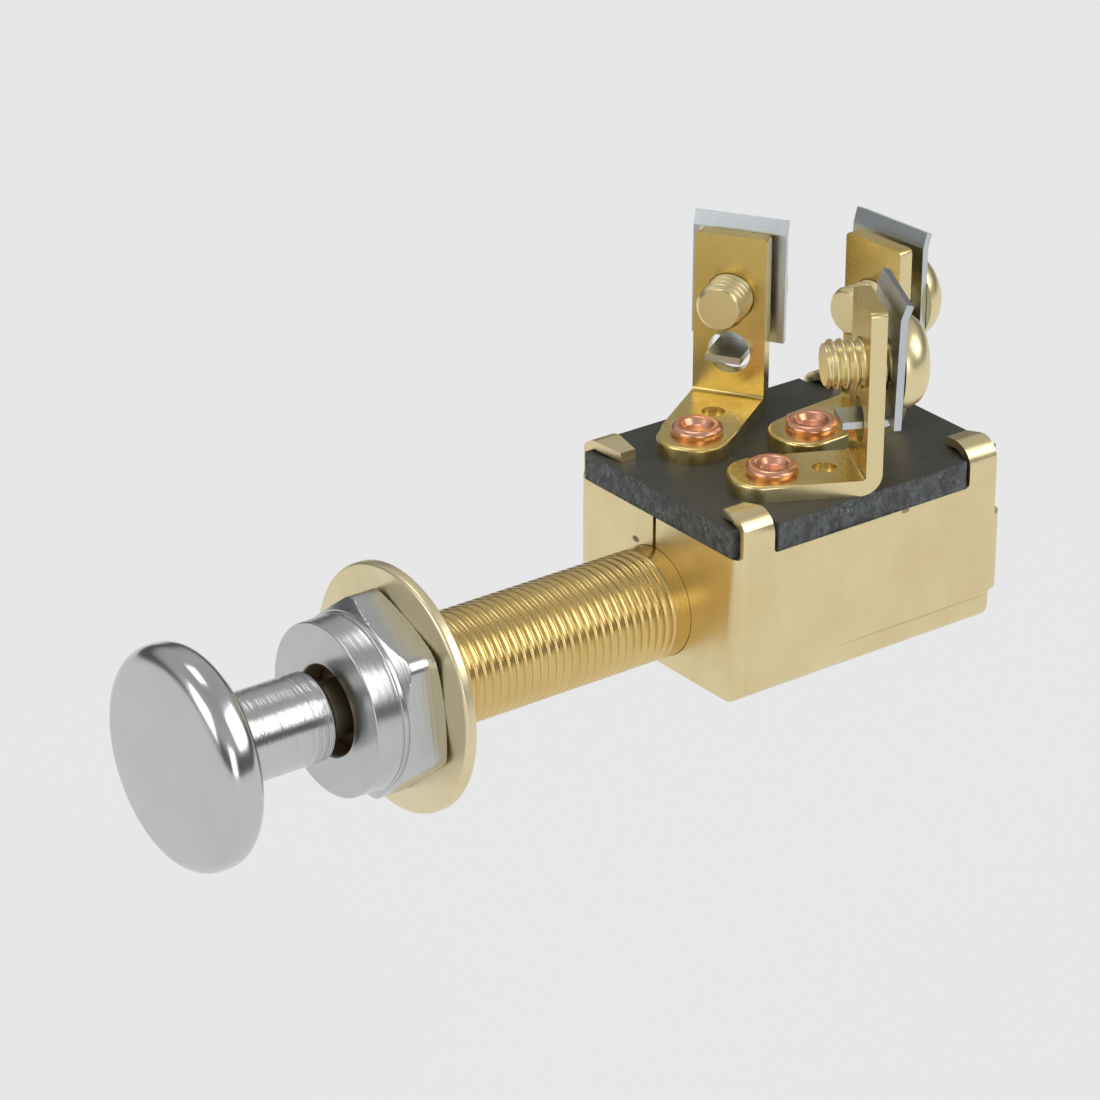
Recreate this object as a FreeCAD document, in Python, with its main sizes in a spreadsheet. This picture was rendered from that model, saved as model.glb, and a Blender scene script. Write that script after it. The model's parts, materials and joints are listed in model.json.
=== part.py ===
import FreeCAD, Part
import math
import os
import re
import Sketcher

# Three-position push-pull switch for a panel.
#
# The origin is on the bushing's axis, where the axis leaves the front wall of the case.
# The knob points along -Y, the case runs along +Y, and the terminals stand up along +Z.
# All sizes are millimetres, and angles are degrees.

Vector = FreeCAD.Vector

doc = FreeCAD.newDocument("PushPullSwitch")
sizes = doc.addObject("Spreadsheet::Sheet", "Sizes")

DRIVING_SIZES = [
    ("sheet_thickness", 0.8, "brass sheet of the case"),
    ("case_width", 21.8, "across the outer faces of the side walls"),
    ("case_length", 28.8, "front flaps to rear flaps, outside"),
    ("case_floor_z", -5.5, "underside of the case"),
    ("wall_top_z", 7.5, "top edge of the walls, which carries the board"),
    ("corner_bend", 1.5, "outside radius of the upright bends"),
    ("floor_bend", 1.6, "outside radius of the bends along the floor"),
    ("upper_relief", 1.2, "rear flaps' outside to the end of the side walls and rear tabs"),
    ("lower_relief", 1.6, "rear flaps' outside to the end of the side walls under them"),
    ("rear_flap_top", 4.2, "upper edge of the rear flaps"),
    ("rear_flap_bottom", -2.7, "lower edge of the rear flaps"),
    ("seam_x", -0.25, "middle of the seam between the front flaps"),
    ("seam_gap", 0.4, "gap between the two flaps of an end"),
    ("tab_width", 3.0, "along the wall"),
    ("tab_reach", 3.5, "from the wall's outer face to the tab's tip"),
    ("tab_bend", 1.9, "outside radius of a tab's bend"),
    ("tab_arch", 0.6, "how far a tab's bend stands off the board"),
    ("long_tab_width", 2.4, "front left tab, along the wall"),
    ("long_tab_reach", 4.7, "its tip from the wall's outer face"),
    ("long_tab_arch", 0.3, "how far its bend stands off the board"),
    ("tab_root", 0.35, "radius between a tab and its wall"),
    ("tab_taper", 0.6, "how far each side of a tab comes in towards its tip"),
    ("front_tab_start", 0.6, "from the front face to the front tabs"),
    ("board_thickness", 2.5, ""),
    ("board_setback", 0.3, "board's rear edge to the outside of the rear flaps"),
    ("board_clearance", 0.15, "round eyelets and locating bumps"),
    ("notch_clearance", 0.35, "board's notches to the tabs' inner faces"),
    ("bushing_major", 9.525, "3/8 inch, 32 threads an inch"),
    ("bushing_reach", 30.9, "case front to the bushing's front end"),
    ("bushing_collar", 1.5, "plain length next to the case"),
    ("bushing_flange", 12.0, "diameter of the head inside the case"),
    ("bushing_flange_thickness", 1.0, ""),
    ("flange_floor_gap", 0.2, "flat on the head to the case floor"),
    ("thread_depth", 0.12, "how far the core lies below the thread's crests here"),
    ("wall_hole_clearance", 0.04, "radial, bushing in the front wall"),
    ("washer_diameter", 20.9, ""),
    ("washer_thickness", 0.95, ""),
    ("thread_clearance", 0.08, "radial, nut and washer on the bushing"),
    ("nut_length", 6.25, "collar and hexagon together"),
    ("nut_flats", 15.2, "across the flats"),
    ("nut_hex_length", 3.35, ""),
    ("nut_collar", 14.5, "diameter of the front collar"),
    ("nut_step", 14.8, "diameter of the low step between collar and hexagon"),
    ("nut_step_length", 0.45, ""),
    ("nut_cap", 1.0, "thickness of the nut's closed front"),
    ("nut_mouth", 7.4, "hole in the nut's closed front"),
    ("nut_turn", 39.5, "angle of one corner of the hexagon above +X"),
    ("end_gap", 1.2, "bushing end to the inside of the nut's front"),
    ("stem_diameter", 7.4, ""),
    ("stem_gap", 1.2, "stem's end to the nut's front face"),
    ("stem_length", 9.4, "stem's end to the back of the knob's head"),
    ("stem_chamfer", 0.4, ""),
    ("head_diameter", 18.5, ""),
    ("head_rim", 1.65, "radius of the rolled rim"),
    ("head_taper", 0.9, "how far the back of the head slopes forward to the rim"),
    ("head_dome", 0.75, "how far the face bulges past the rim"),
    ("head_fillet", 1.1, "between stem and head"),
    ("rod_diameter", 4.76, "3/16 inch"),
    ("rod_clearance", 0.06, "radial, rod in the bushing"),
    ("rod_seat", 0.03, "radial, rod in the knob"),
    ("knob_bore_depth", 8.0, ""),
    ("tail_diameter", 3.0, "rod inside the carriage"),
    ("tail_clearance", 0.05, "radial"),
    ("clip_diameter", 6.4, ""),
    ("clip_thickness", 0.6, ""),
    ("clip_groove", 0.35, "depth of the rod's groove"),
    ("tail_end", 0.5, "rod behind the clip"),
    ("seat_gap", 0.02, "between faces that slide or turn on each other"),
    ("slide_travel", 4.5, "from one position of the knob to the next"),
    ("carriage_front", 11.0, "front end of the carriage with the knob pushed in"),
    ("rear_room", 1.4, "carriage to the rear flaps, for the clip"),
    ("carriage_side_gap", 0.2, "carriage to side wall"),
    ("carriage_floor_gap", 0.2, "carriage to case floor"),
    ("carriage_rail", 2.2, "width of each side rail"),
    ("rail_gap", 0.25, "rails to the board"),
    ("end_wall", 1.0, "carriage wall in front of and behind the bridge"),
    ("end_wall_gap", 0.2, "end walls to the eyelet heads"),
    ("bridge_thickness", 0.8, ""),
    ("bridge_gap", 0.03, "bridge to the eyelet heads"),
    ("bridge_play", 0.15, "bridge to the walls round it"),
    ("bridge_seat", 0.45, "free height under the bridge, for it to ride over a head"),
    ("bridge_step", 4.5, "how far the right arm is set back from the left"),
    ("bridge_split_x", 2.5, "where the set-back begins"),
    ("ball_diameter", 3.175, "1/8 inch"),
    ("ball_x", 5.6, "from the axis to each ball"),
    ("ball_y", 18.8, "with the knob pushed in"),
    ("ball_gap", 0.03, "ball to the floor between the dents"),
    ("ball_play", 0.12, "radial, ball in its bore"),
    ("dent_diameter", 1.9, ""),
    ("dent_depth", 0.25, ""),
    ("spring_wire", 0.4, ""),
    ("spring_turns", 7, ""),
    ("spring_end_gap", 0.05, ""),
    ("front_rivet_x", 4.95, "front eyelets, left and right of the axis"),
    ("front_rivet_y", 8.1, ""),
    ("rear_rivet_y", 16.4, ""),
    ("left_swing", -33, "left terminal's foot, clockwise from +Y seen from above"),
    ("right_swing", 27, ""),
    ("rear_swing", -4.5, ""),
    ("left_offset", 8.35, "eyelet axis to the blade's front face"),
    ("right_offset", 7.15, ""),
    ("rear_offset", 6.7, ""),
    ("left_height", 15.8, "board to the blade's top"),
    ("right_height", 16.05, ""),
    ("rear_height", 16.2, ""),
    ("terminal_thickness", 1.38, ""),
    ("blade_width", 6.35, "1/4 inch strip"),
    ("blade_bend", 0.3, "inside radius"),
    ("outer_bend", 1.9, "outside radius of the same bend"),
    ("blade_corner", 0.4, "radius of the blade's top corners"),
    ("foot_end", 3.7, "eyelet axis to the foot's rounded end"),
    ("foot_taper", 0.3, "how far each side of the foot comes in towards that end"),
    ("bump_offset", 4.4, "eyelet axis to the locating bump"),
    ("bump_diameter", 2.2, ""),
    ("bump_depth", 0.6, ""),
    ("screw_drop", 5.5, "blade's top to the screw's axis"),
    ("screw_major", 4.166, "number 8, 32 threads an inch"),
    ("screw_clearance", 0.06, "radial, screw in the blade's thread"),
    ("screw_reach", 3.1, "past the blade's front face"),
    ("screw_chamfer", 0.35, ""),
    ("screw_head", 8.0, ""),
    ("screw_head_height", 2.5, ""),
    ("slot_width", 1.0, ""),
    ("slot_depth", 1.3, ""),
    ("tongue_hole", 3.8, ""),
    ("tongue_hole_drop", 10.55, "blade's top to the hole's centre"),
    ("clamp_thickness", 0.62, ""),
    ("clamp_width", 8.2, ""),
    ("clamp_height", 11.0, "top to bottom"),
    ("left_rise", 0.85, "clamp plate's top above the blade's"),
    ("right_rise", 1.0, ""),
    ("rear_rise", 1.05, ""),
    ("left_gap", 1.0, "foot of the clamp plate to the blade"),
    ("right_gap", 0.55, ""),
    ("rear_gap", 1.0, ""),
    ("left_lean", 0.3, "how far the plate leans back from the blade"),
    ("right_lean", 1.6, ""),
    ("rear_lean", 0.3, ""),
    ("left_shift", 0, "middle of the plate to the screw's axis, sideways"),
    ("right_shift", 0, ""),
    ("rear_shift", -0.7, ""),
    ("clamp_hole_clearance", 0.3, "radial, screw in the clamp plate"),
    ("lip_height", 1.3, ""),
    ("lip_flare", 0.42, ""),
    ("tongue_width", 3.1, ""),
    ("tongue_reach", 1.7, "past the blade's front face"),
    ("tongue_drop", 0.1, "plate's lower edge to the tongue's upper face"),
    ("eyelet_flange", 4.4, ""),
    ("eyelet_flange_thickness", 0.75, ""),
    ("eyelet_shank", 2.9, ""),
    ("eyelet_clearance", 0.03, "radial"),
    ("eyelet_crater", 2.4, ""),
    ("eyelet_crater_depth", 1.1, ""),
    ("eyelet_head_thickness", 0.6, "inside the case"),
]

for row, (alias, number, note) in enumerate(DRIVING_SIZES, start=1):
    sizes.set(f"A{row}", str(number))
    sizes.setAlias(f"A{row}", alias)
    sizes.set(f"B{row}", note)

DERIVED_SIZES = [
    ("half_width", "case_width / 2"),
    ("inner_half", "half_width - sheet_thickness"),
    ("floor_top", "case_floor_z + sheet_thickness"),
    ("board_top", "wall_top_z + board_thickness"),
    ("upper_wall_end", "case_length - upper_relief"),
    ("lower_wall_end", "case_length - lower_relief"),
    ("board_length", "case_length - board_setback"),
    ("rear_tab_start", "upper_wall_end - tab_width"),
    ("bushing_radius", "bushing_major / 2"),
    ("bushing_end", "0 - bushing_reach"),
    ("nut_front", "bushing_end - end_gap - nut_cap"),
    ("nut_rear", "nut_front + nut_length"),
    ("nut_hex_front", "nut_rear - nut_hex_length"),
    ("washer_rear", "nut_rear + seat_gap + washer_thickness"),
    ("stem_end", "nut_front - stem_gap"),
    ("head_back", "stem_end - stem_length"),
    ("head_rim_y", "head_back - head_taper - head_rim"),
    ("head_face", "head_rim_y - head_rim - head_dome"),
    ("carriage_rear", "case_length - sheet_thickness - rear_room"),
    ("carriage_length", "carriage_rear - carriage_front"),
    ("clip_front", "carriage_rear + seat_gap"),
    ("clip_rear", "clip_front + clip_thickness"),
    ("carriage_floor", "floor_top + carriage_floor_gap"),
    ("carriage_half", "inner_half - carriage_side_gap"),
    ("eyelet_head_z", "wall_top_z - eyelet_head_thickness"),
    ("bridge_top", "eyelet_head_z - bridge_gap"),
    ("bridge_bottom", "bridge_top - bridge_thickness"),
    ("recess_floor", "bridge_bottom - bridge_seat"),
    ("recess_half", "carriage_half - carriage_rail"),
    ("ball_z", "floor_top + ball_gap + ball_diameter / 2"),
    ("ball_bore", "ball_diameter / 2 + ball_play"),
    ("spring_bottom", "ball_z + ball_diameter / 2 + spring_end_gap"),
    ("spring_top", "bridge_bottom - spring_end_gap"),
]
for row, (alias, formula) in enumerate(DERIVED_SIZES, start=len(DRIVING_SIZES) + 1):
    sizes.set(f"A{row}", "=" + formula)
    sizes.setAlias(f"A{row}", alias)
doc.recompute()

ALIASES = {alias for alias, *_ in DRIVING_SIZES + DERIVED_SIZES}


def bound(formula):
    """A formula on the sheet's names, written the way an object's expression needs it."""

    def on_sheet(name):
        return f"Sizes.{name[0]}" if name[0] in ALIASES else name[0]

    return re.sub(r"[A-Za-z_]\w*", on_sheet, str(formula))


def number(formula):
    """The value of a formula on the sheet's names."""
    return float(sizes.evalExpression(str(formula)))


def new_body(name, place=None, turn=None):
    """A body whose label is its node's name, at a place and a turn about Z given as formulas."""
    body = doc.addObject("PartDesign::Body", name)
    body.Label = name
    for axis, formula in zip("xyz", place or ()):
        body.setExpression(f"Placement.Base.{axis}", bound(formula))
    if turn is not None:
        body.Placement.Rotation = FreeCAD.Rotation(Vector(0, 0, 1), number(turn))
        body.setExpression("Placement.Rotation.Angle", f"({bound(turn)}) * 1 deg")
    return body


def new_sketch(body, plane, offset="0"):
    """A sketch on one of the body's origin planes, or parallel to it."""
    sketch = body.newObject("Sketcher::SketchObject", body.Name + "_sketch")
    support = next(item for item in body.Origin.OriginFeatures if item.Role == plane)
    sketch.AttachmentSupport = (support, "")
    sketch.MapMode = "FlatFace"
    sketch.setExpression("AttachmentOffset.Base.z", bound(offset))
    return sketch


def hold_point(sketch, geometry, position, x_formula, y_formula):
    """Ties a point of a sketch to two formulas."""
    for kind, formula in (("DistanceX", x_formula), ("DistanceY", y_formula)):
        constraint = Sketcher.Constraint(kind, geometry, position, number(formula))
        index = sketch.addConstraint(constraint)
        sketch.setExpression(f"Constraints[{index}]", bound(formula))


def corner_arc(before, corner, after, radius):
    """Start, end and centre of the arc that rounds a corner, and whether it turns left."""
    back = (before - corner).normalize()
    onward = (after - corner).normalize()
    half_angle = back.getAngle(onward) / 2
    leg = radius / math.tan(half_angle)
    middle = (back + onward).normalize() * (radius / math.sin(half_angle))
    turns_left = (corner - before).cross(after - corner).z > 0
    return corner + back * leg, corner + onward * leg, corner + middle, turns_left


def outline(sketch, corners):
    """A closed outline through corners (x, y) or (x, y, radius), all given as formulas."""
    points = [Vector(number(c[0]), number(c[1]), 0) for c in corners]
    count = len(points)
    rounds = {}
    for i, corner in enumerate(corners):
        if len(corner) == 3:
            radius = number(corner[2])
            rounds[i] = corner_arc(points[i - 1], points[i], points[(i + 1) % count], radius)
    lines = []
    for i in range(count):
        j = (i + 1) % count
        start = rounds[i][1] if i in rounds else points[i]
        end = rounds[j][0] if j in rounds else points[j]
        lines.append(sketch.addGeometry(Part.LineSegment(start, end)))
    for i, corner in enumerate(corners):
        line_in, line_out = lines[i - 1], lines[i]
        if i not in rounds:
            sketch.addConstraint(Sketcher.Constraint("Coincident", line_in, 2, line_out, 1))
            hold_point(sketch, line_out, 1, corner[0], corner[1])
            continue
        start, end, centre, turns_left = rounds[i]
        first, last = (start, end) if turns_left else (end, start)
        angles = [math.atan2((p - centre).y, (p - centre).x) for p in (first, last)]
        circle = Part.Circle(centre, Vector(0, 0, 1), (start - centre).Length)
        arc = sketch.addGeometry(Part.ArcOfCircle(circle, *angles))
        arc_in, arc_out = (1, 2) if turns_left else (2, 1)
        sketch.addConstraint(Sketcher.Constraint("Tangent", line_in, 2, arc, arc_in))
        sketch.addConstraint(Sketcher.Constraint("Tangent", arc, arc_out, line_out, 1))
        index = sketch.addConstraint(Sketcher.Constraint("Radius", arc, number(corner[2])))
        sketch.setExpression(f"Constraints[{index}]", bound(corner[2]))
        point = sketch.addGeometry(Part.Point(points[i]), True)
        sketch.addConstraint(Sketcher.Constraint("PointOnObject", point, 1, line_in))
        sketch.addConstraint(Sketcher.Constraint("PointOnObject", point, 1, line_out))
        hold_point(sketch, point, 1, corner[0], corner[1])


def circle(sketch, x_formula, y_formula, radius_formula):
    """A circle whose centre and radius are formulas."""
    centre = Vector(number(x_formula), number(y_formula), 0)
    ring = sketch.addGeometry(Part.Circle(centre, Vector(0, 0, 1), number(radius_formula)))
    index = sketch.addConstraint(Sketcher.Constraint("Radius", ring, number(radius_formula)))
    sketch.setExpression(f"Constraints[{index}]", bound(radius_formula))
    hold_point(sketch, ring, 3, x_formula, y_formula)


def finish_feature(body, feature, adds):
    """Recomputes, and stops if a feature that should add or take away material did neither."""
    before = feature.BaseFeature.Shape.Volume if feature.BaseFeature else 0.0
    doc.recompute()
    change = feature.Shape.Volume - before
    if (change <= 0) if adds else (change >= 0):
        raise RuntimeError(f"{body.Label}: {feature.Name} changes nothing")
    return feature


def pad(body, sketch, length, side="One side", reverse=False):
    """Extrudes a sketch into material."""
    feature = body.newObject("PartDesign::Pad", body.Name + "_pad")
    feature.Profile = sketch
    feature.SideType = side
    feature.Reversed = reverse
    feature.setExpression("Length", bound(length))
    return finish_feature(body, feature, adds=True)


def pocket(body, sketch, length, side="One side", reverse=False):
    """Cuts a sketch's extrusion out of the body."""
    feature = body.newObject("PartDesign::Pocket", body.Name + "_pocket")
    feature.Profile = sketch
    feature.SideType = side
    feature.Reversed = reverse
    feature.setExpression("Length", bound(length))
    return finish_feature(body, feature, adds=False)


def turn(body, sketch, adds=True, axis="V_Axis"):
    """Revolves a sketch about its own upright or level axis."""
    kind = "Revolution" if adds else "Groove"
    feature = body.newObject("PartDesign::" + kind, body.Name + "_turned")
    feature.Profile = sketch
    feature.ReferenceAxis = (sketch, [axis])
    feature.Angle = 360
    return finish_feature(body, feature, adds)


def round_edges(body, base, radius, chosen):
    """Rounds the edges of the last feature whose midpoint satisfies a test."""
    names = []
    for index, edge in enumerate(base.Shape.Edges, start=1):
        middle = edge.valueAt((edge.FirstParameter + edge.LastParameter) / 2)
        if chosen(edge, middle):
            names.append(f"Edge{index}")
    feature = body.newObject("PartDesign::Fillet", body.Name + "_fillet")
    feature.Base = (base, names)
    feature.setExpression("Radius", bound(radius))
    doc.recompute()
    return feature


def near(first, second):
    """Whether two coordinates are the same point of the model."""
    return abs(first - second) < 1e-3


# Knob: a turned mushroom head and stem, bored from behind for the rod.
def make_knob():
    body = new_body("knob")
    profile = new_sketch(body, "XY_Plane")
    bore = "rod_diameter / 2 + rod_seat"
    outline(profile, [
        (bore, "stem_end - knob_bore_depth"),
        (bore, "stem_end"),
        ("stem_diameter / 2 - stem_chamfer", "stem_end"),
        ("stem_diameter / 2", "stem_end - stem_chamfer"),
        ("stem_diameter / 2", "head_back", "head_fillet"),
        ("head_diameter / 2", "head_back - head_taper", "head_rim * 0.9"),
        ("head_diameter / 2", "head_rim_y - head_rim", "head_rim * 0.9"),
        (
            "head_diameter / 2 - head_rim * 2.2",
            "head_rim_y - head_rim - head_dome * 0.5",
            "head_diameter",
        ),
        ("0", "head_face"),
        ("0", "stem_end - knob_bore_depth"),
    ])
    turn(body, profile)


# Plunger rod: stepped, with a groove for the clip behind the carriage.
def make_plunger_rod():
    body = new_body("plunger_rod")
    profile = new_sketch(body, "XY_Plane")
    groove = "tail_diameter / 2 - clip_groove"
    outline(profile, [
        ("0", "stem_end - knob_bore_depth + seat_gap"),
        ("rod_diameter / 2", "stem_end - knob_bore_depth + seat_gap"),
        ("rod_diameter / 2", "carriage_front - seat_gap"),
        ("tail_diameter / 2", "carriage_front - seat_gap"),
        ("tail_diameter / 2", "clip_front"),
        (groove, "clip_front"),
        (groove, "clip_rear + seat_gap"),
        ("tail_diameter / 2", "clip_rear + seat_gap"),
        ("tail_diameter / 2", "clip_rear + tail_end"),
        ("0", "clip_rear + tail_end"),
    ])
    turn(body, profile)


# Rod clip: a spring ring with one open side, sprung into the rod's groove.
def make_rod_clip():
    body = new_body("rod_clip")
    ring = new_sketch(body, "XZ_Plane", "0 - clip_rear")
    circle(ring, "0", "0", "clip_diameter / 2")
    circle(ring, "0", "0", "tail_diameter / 2 - clip_groove + seat_gap")
    pad(body, ring, "clip_thickness")
    gap = new_sketch(body, "XZ_Plane", "0 - clip_rear")
    width = "(tail_diameter / 2 - clip_groove) * 0.85"
    outline(gap, [
        ("0 - " + width, "0"),
        (width, "0"),
        (width, "clip_diameter"),
        ("0 - " + width, "clip_diameter"),
    ])
    pocket(body, gap, "clip_thickness * 4", side="Symmetric")


# Bushing: bored tube with a plain collar at the case and a head inside the front wall, flat below.
def make_threaded_bushing():
    body = new_body("threaded_bushing")
    profile = new_sketch(body, "XY_Plane")
    bore = "rod_diameter / 2 + rod_clearance"
    core = "bushing_radius - thread_depth"
    outline(profile, [
        (bore, "bushing_end"),
        (core + " - thread_depth * 2", "bushing_end"),
        (core, "bushing_end + thread_depth * 2"),
        (core, "0 - bushing_collar"),
        ("bushing_radius", "0 - bushing_collar + thread_depth"),
        ("bushing_radius", "sheet_thickness"),
        ("bushing_flange / 2", "sheet_thickness"),
        ("bushing_flange / 2", "sheet_thickness + bushing_flange_thickness"),
        (bore, "sheet_thickness + bushing_flange_thickness"),
    ])
    turn(body, profile)
    flat = new_sketch(body, "XZ_Plane", "0 - sheet_thickness")
    outline(flat, [
        ("0 - bushing_flange", "floor_top + flange_floor_gap"),
        ("0 - bushing_flange", "0 - bushing_flange"),
        ("bushing_flange", "0 - bushing_flange"),
        ("bushing_flange", "floor_top + flange_floor_gap"),
    ])
    pocket(body, flat, "bushing_flange_thickness + 1")


# Panel nut: hexagon at the back, round collar in front, closed down to a mouth round the stem.
def make_panel_nut():
    body = new_body("panel_nut")
    hexagon = new_sketch(body, "XZ_Plane", "0 - nut_rear")
    corner = "nut_flats / sqrt(3)"
    outline(hexagon, [
        (f"{corner} * cos(nut_turn + {60 * k})", f"{corner} * sin(nut_turn + {60 * k})")
        for k in range(6)
    ])
    pad(body, hexagon, "nut_hex_length")
    crown = new_sketch(body, "XY_Plane")
    outline(crown, [
        ("nut_flats / 2 - thread_clearance", "nut_hex_front - 0.5"),
        ("nut_flats", "nut_hex_front - 0.5"),
        ("nut_flats", "nut_hex_front + (nut_flats / 2 + thread_clearance) * 0.5"),
        ("nut_flats / 2 - thread_clearance", "nut_hex_front"),
    ])
    turn(body, crown, adds=False)
    collar = new_sketch(body, "XY_Plane")
    outline(collar, [
        ("0", "nut_front"),
        ("nut_collar / 2", "nut_front", "0.12"),
        ("nut_collar / 2", "nut_hex_front - nut_step_length"),
        ("nut_step / 2", "nut_hex_front - nut_step_length", "0.12"),
        ("nut_step / 2", "nut_hex_front + 0.5"),
        ("0", "nut_hex_front + 0.5"),
    ])
    turn(body, collar)
    thread = new_sketch(body, "XY_Plane")
    bore = "bushing_radius + thread_clearance"
    outline(thread, [
        ("0", "nut_front - 1"),
        ("nut_mouth / 2", "nut_front - 1"),
        ("nut_mouth / 2", "nut_front + nut_cap"),
        (bore, "nut_front + nut_cap"),
        (bore, "nut_rear - 0.4"),
        (bore + " + 0.4", "nut_rear"),
        (bore + " + 0.4", "nut_rear + 1"),
        ("0", "nut_rear + 1"),
    ])
    turn(body, thread, adds=False)


# Panel washer: punched flat ring, its punched edge slightly rolled.
def make_panel_washer():
    body = new_body("panel_washer")
    profile = new_sketch(body, "XY_Plane")
    bore = "bushing_radius + thread_clearance"
    outline(profile, [
        (bore, "nut_rear + seat_gap"),
        ("washer_diameter / 2", "nut_rear + seat_gap", "washer_thickness * 0.3"),
        ("washer_diameter / 2", "washer_rear", "washer_thickness * 0.1"),
        (bore, "washer_rear"),
    ])
    turn(body, profile)


# Case: one folded blank of brass sheet.
def make_case():
    body = new_body("case")
    plan = new_sketch(body, "XY_Plane", "case_floor_z")
    outline(plan, [
        ("0 - half_width", "0"),
        ("half_width", "0"),
        ("half_width", "case_length"),
        ("0 - half_width", "case_length"),
    ])
    pad(body, plan, "wall_top_z - case_floor_z")
    hollow_case(body)
    cut_rear_reliefs(body)
    cut_seams(body)
    hole = new_sketch(body, "XZ_Plane")
    circle(hole, "0", "0", "bushing_radius + wall_hole_clearance")
    pocket(body, hole, "sheet_thickness * 3", side="Symmetric")
    cut_dents(body)
    for side, kind in (("", "tab"), ("0 - ", "long_tab")):
        add_tab(body, side, kind, "front_tab_start", f"front_tab_start + {kind}_width + tab_root")
        add_tab(body, side, "tab", "rear_tab_start", "upper_wall_end")
    round_bends(body)


def hollow_case(body):
    """Empties the case down to its sheet, with rounded inner bends."""
    inner_bend = "floor_bend - sheet_thickness"
    sketch = new_sketch(body, "XZ_Plane", "0 - sheet_thickness")
    outline(sketch, [
        ("0 - inner_half", "wall_top_z + 1"),
        ("0 - inner_half", "floor_top", inner_bend),
        ("inner_half", "floor_top", inner_bend),
        ("inner_half", "wall_top_z + 1"),
    ])
    hollow = pocket(body, sketch, "case_length - 2 * sheet_thickness")
    ends = [number("sheet_thickness"), number("case_length - sheet_thickness")]
    half = number("inner_half")

    def at_upright_bend(edge, middle):
        upright = near(edge.BoundBox.XLength, 0) and near(edge.BoundBox.YLength, 0)
        return upright and near(abs(middle.x), half) and any(near(middle.y, y) for y in ends)

    round_edges(body, hollow, "corner_bend - sheet_thickness", at_upright_bend)


def beyond_corner(sketch, x, y, outward, radius):
    """The region outside a rounded corner at (x, y) that points outward, a pair of signs."""
    across, along = outward
    inside_x = f"{x} - ({across}) * {radius} * 1.5"
    inside_y = f"{y} - ({along}) * {radius} * 1.5"
    outline(sketch, [
        (f"{x} + ({across})", f"{y} + ({along})"),
        (f"{x} + ({across})", inside_y),
        (x, inside_y),
        (x, y, radius),
        (inside_x, y),
        (inside_x, f"{y} + ({along})"),
    ])


def round_bends(body):
    """Rounds the outside of the two long floor bends and the four upright bends."""
    floor = new_sketch(body, "XZ_Plane", "1")
    uprights = new_sketch(body, "XY_Plane", "case_floor_z")
    for side, across in (("", 1), ("0 - ", -1)):
        beyond_corner(floor, f"{side}half_width", "case_floor_z", (across, -1), "floor_bend")
        beyond_corner(uprights, f"{side}half_width", "0", (across, -1), "corner_bend")
        beyond_corner(uprights, f"{side}half_width", "case_length", (across, 1), "corner_bend")
    pocket(body, floor, "case_length + 2")
    pocket(body, uprights, "case_length * 2", side="Symmetric")


def cut_rear_reliefs(body):
    """Frees the rear flaps, which are lower than the walls that they fold from."""
    sketch = new_sketch(body, "YZ_Plane")
    outline(sketch, [
        ("upper_wall_end", "rear_flap_top"),
        ("case_length + 1", "rear_flap_top"),
        ("case_length + 1", "wall_top_z + 1"),
        ("upper_wall_end", "wall_top_z + 1"),
    ])
    outline(sketch, [
        ("lower_wall_end", "case_floor_z - 1"),
        ("case_length + 1", "case_floor_z - 1"),
        ("case_length + 1", "rear_flap_bottom"),
        ("lower_wall_end", "rear_flap_bottom", "0.3"),
    ])
    pocket(body, sketch, "case_width * 2", side="Symmetric")


def cut_seams(body):
    """Opens the seam between the two flaps at each end of the case."""
    for middle, low, plane_y in (("seam_x", "floor_top", "0"), ("0", "floor_top", "case_length")):
        sketch = new_sketch(body, "XZ_Plane", f"0 - {plane_y}")
        outline(sketch, [
            (f"{middle} - seam_gap / 2", low),
            (f"{middle} + seam_gap / 2", low),
            (f"{middle} + seam_gap / 2", "wall_top_z + 1"),
            (f"{middle} - seam_gap / 2", "wall_top_z + 1"),
        ])
        pocket(body, sketch, "sheet_thickness * 2.2", side="Symmetric")


def cut_dents(body):
    """Sinks three dents for each ball into the case floor."""
    sketch = new_sketch(body, "XY_Plane", "floor_top")
    for side in ("", "0 - "):
        for step in range(3):
            circle(sketch, f"{side}ball_x", f"ball_y - {step} * slide_travel", "dent_diameter / 2")
    pocket(body, sketch, "dent_depth")


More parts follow.
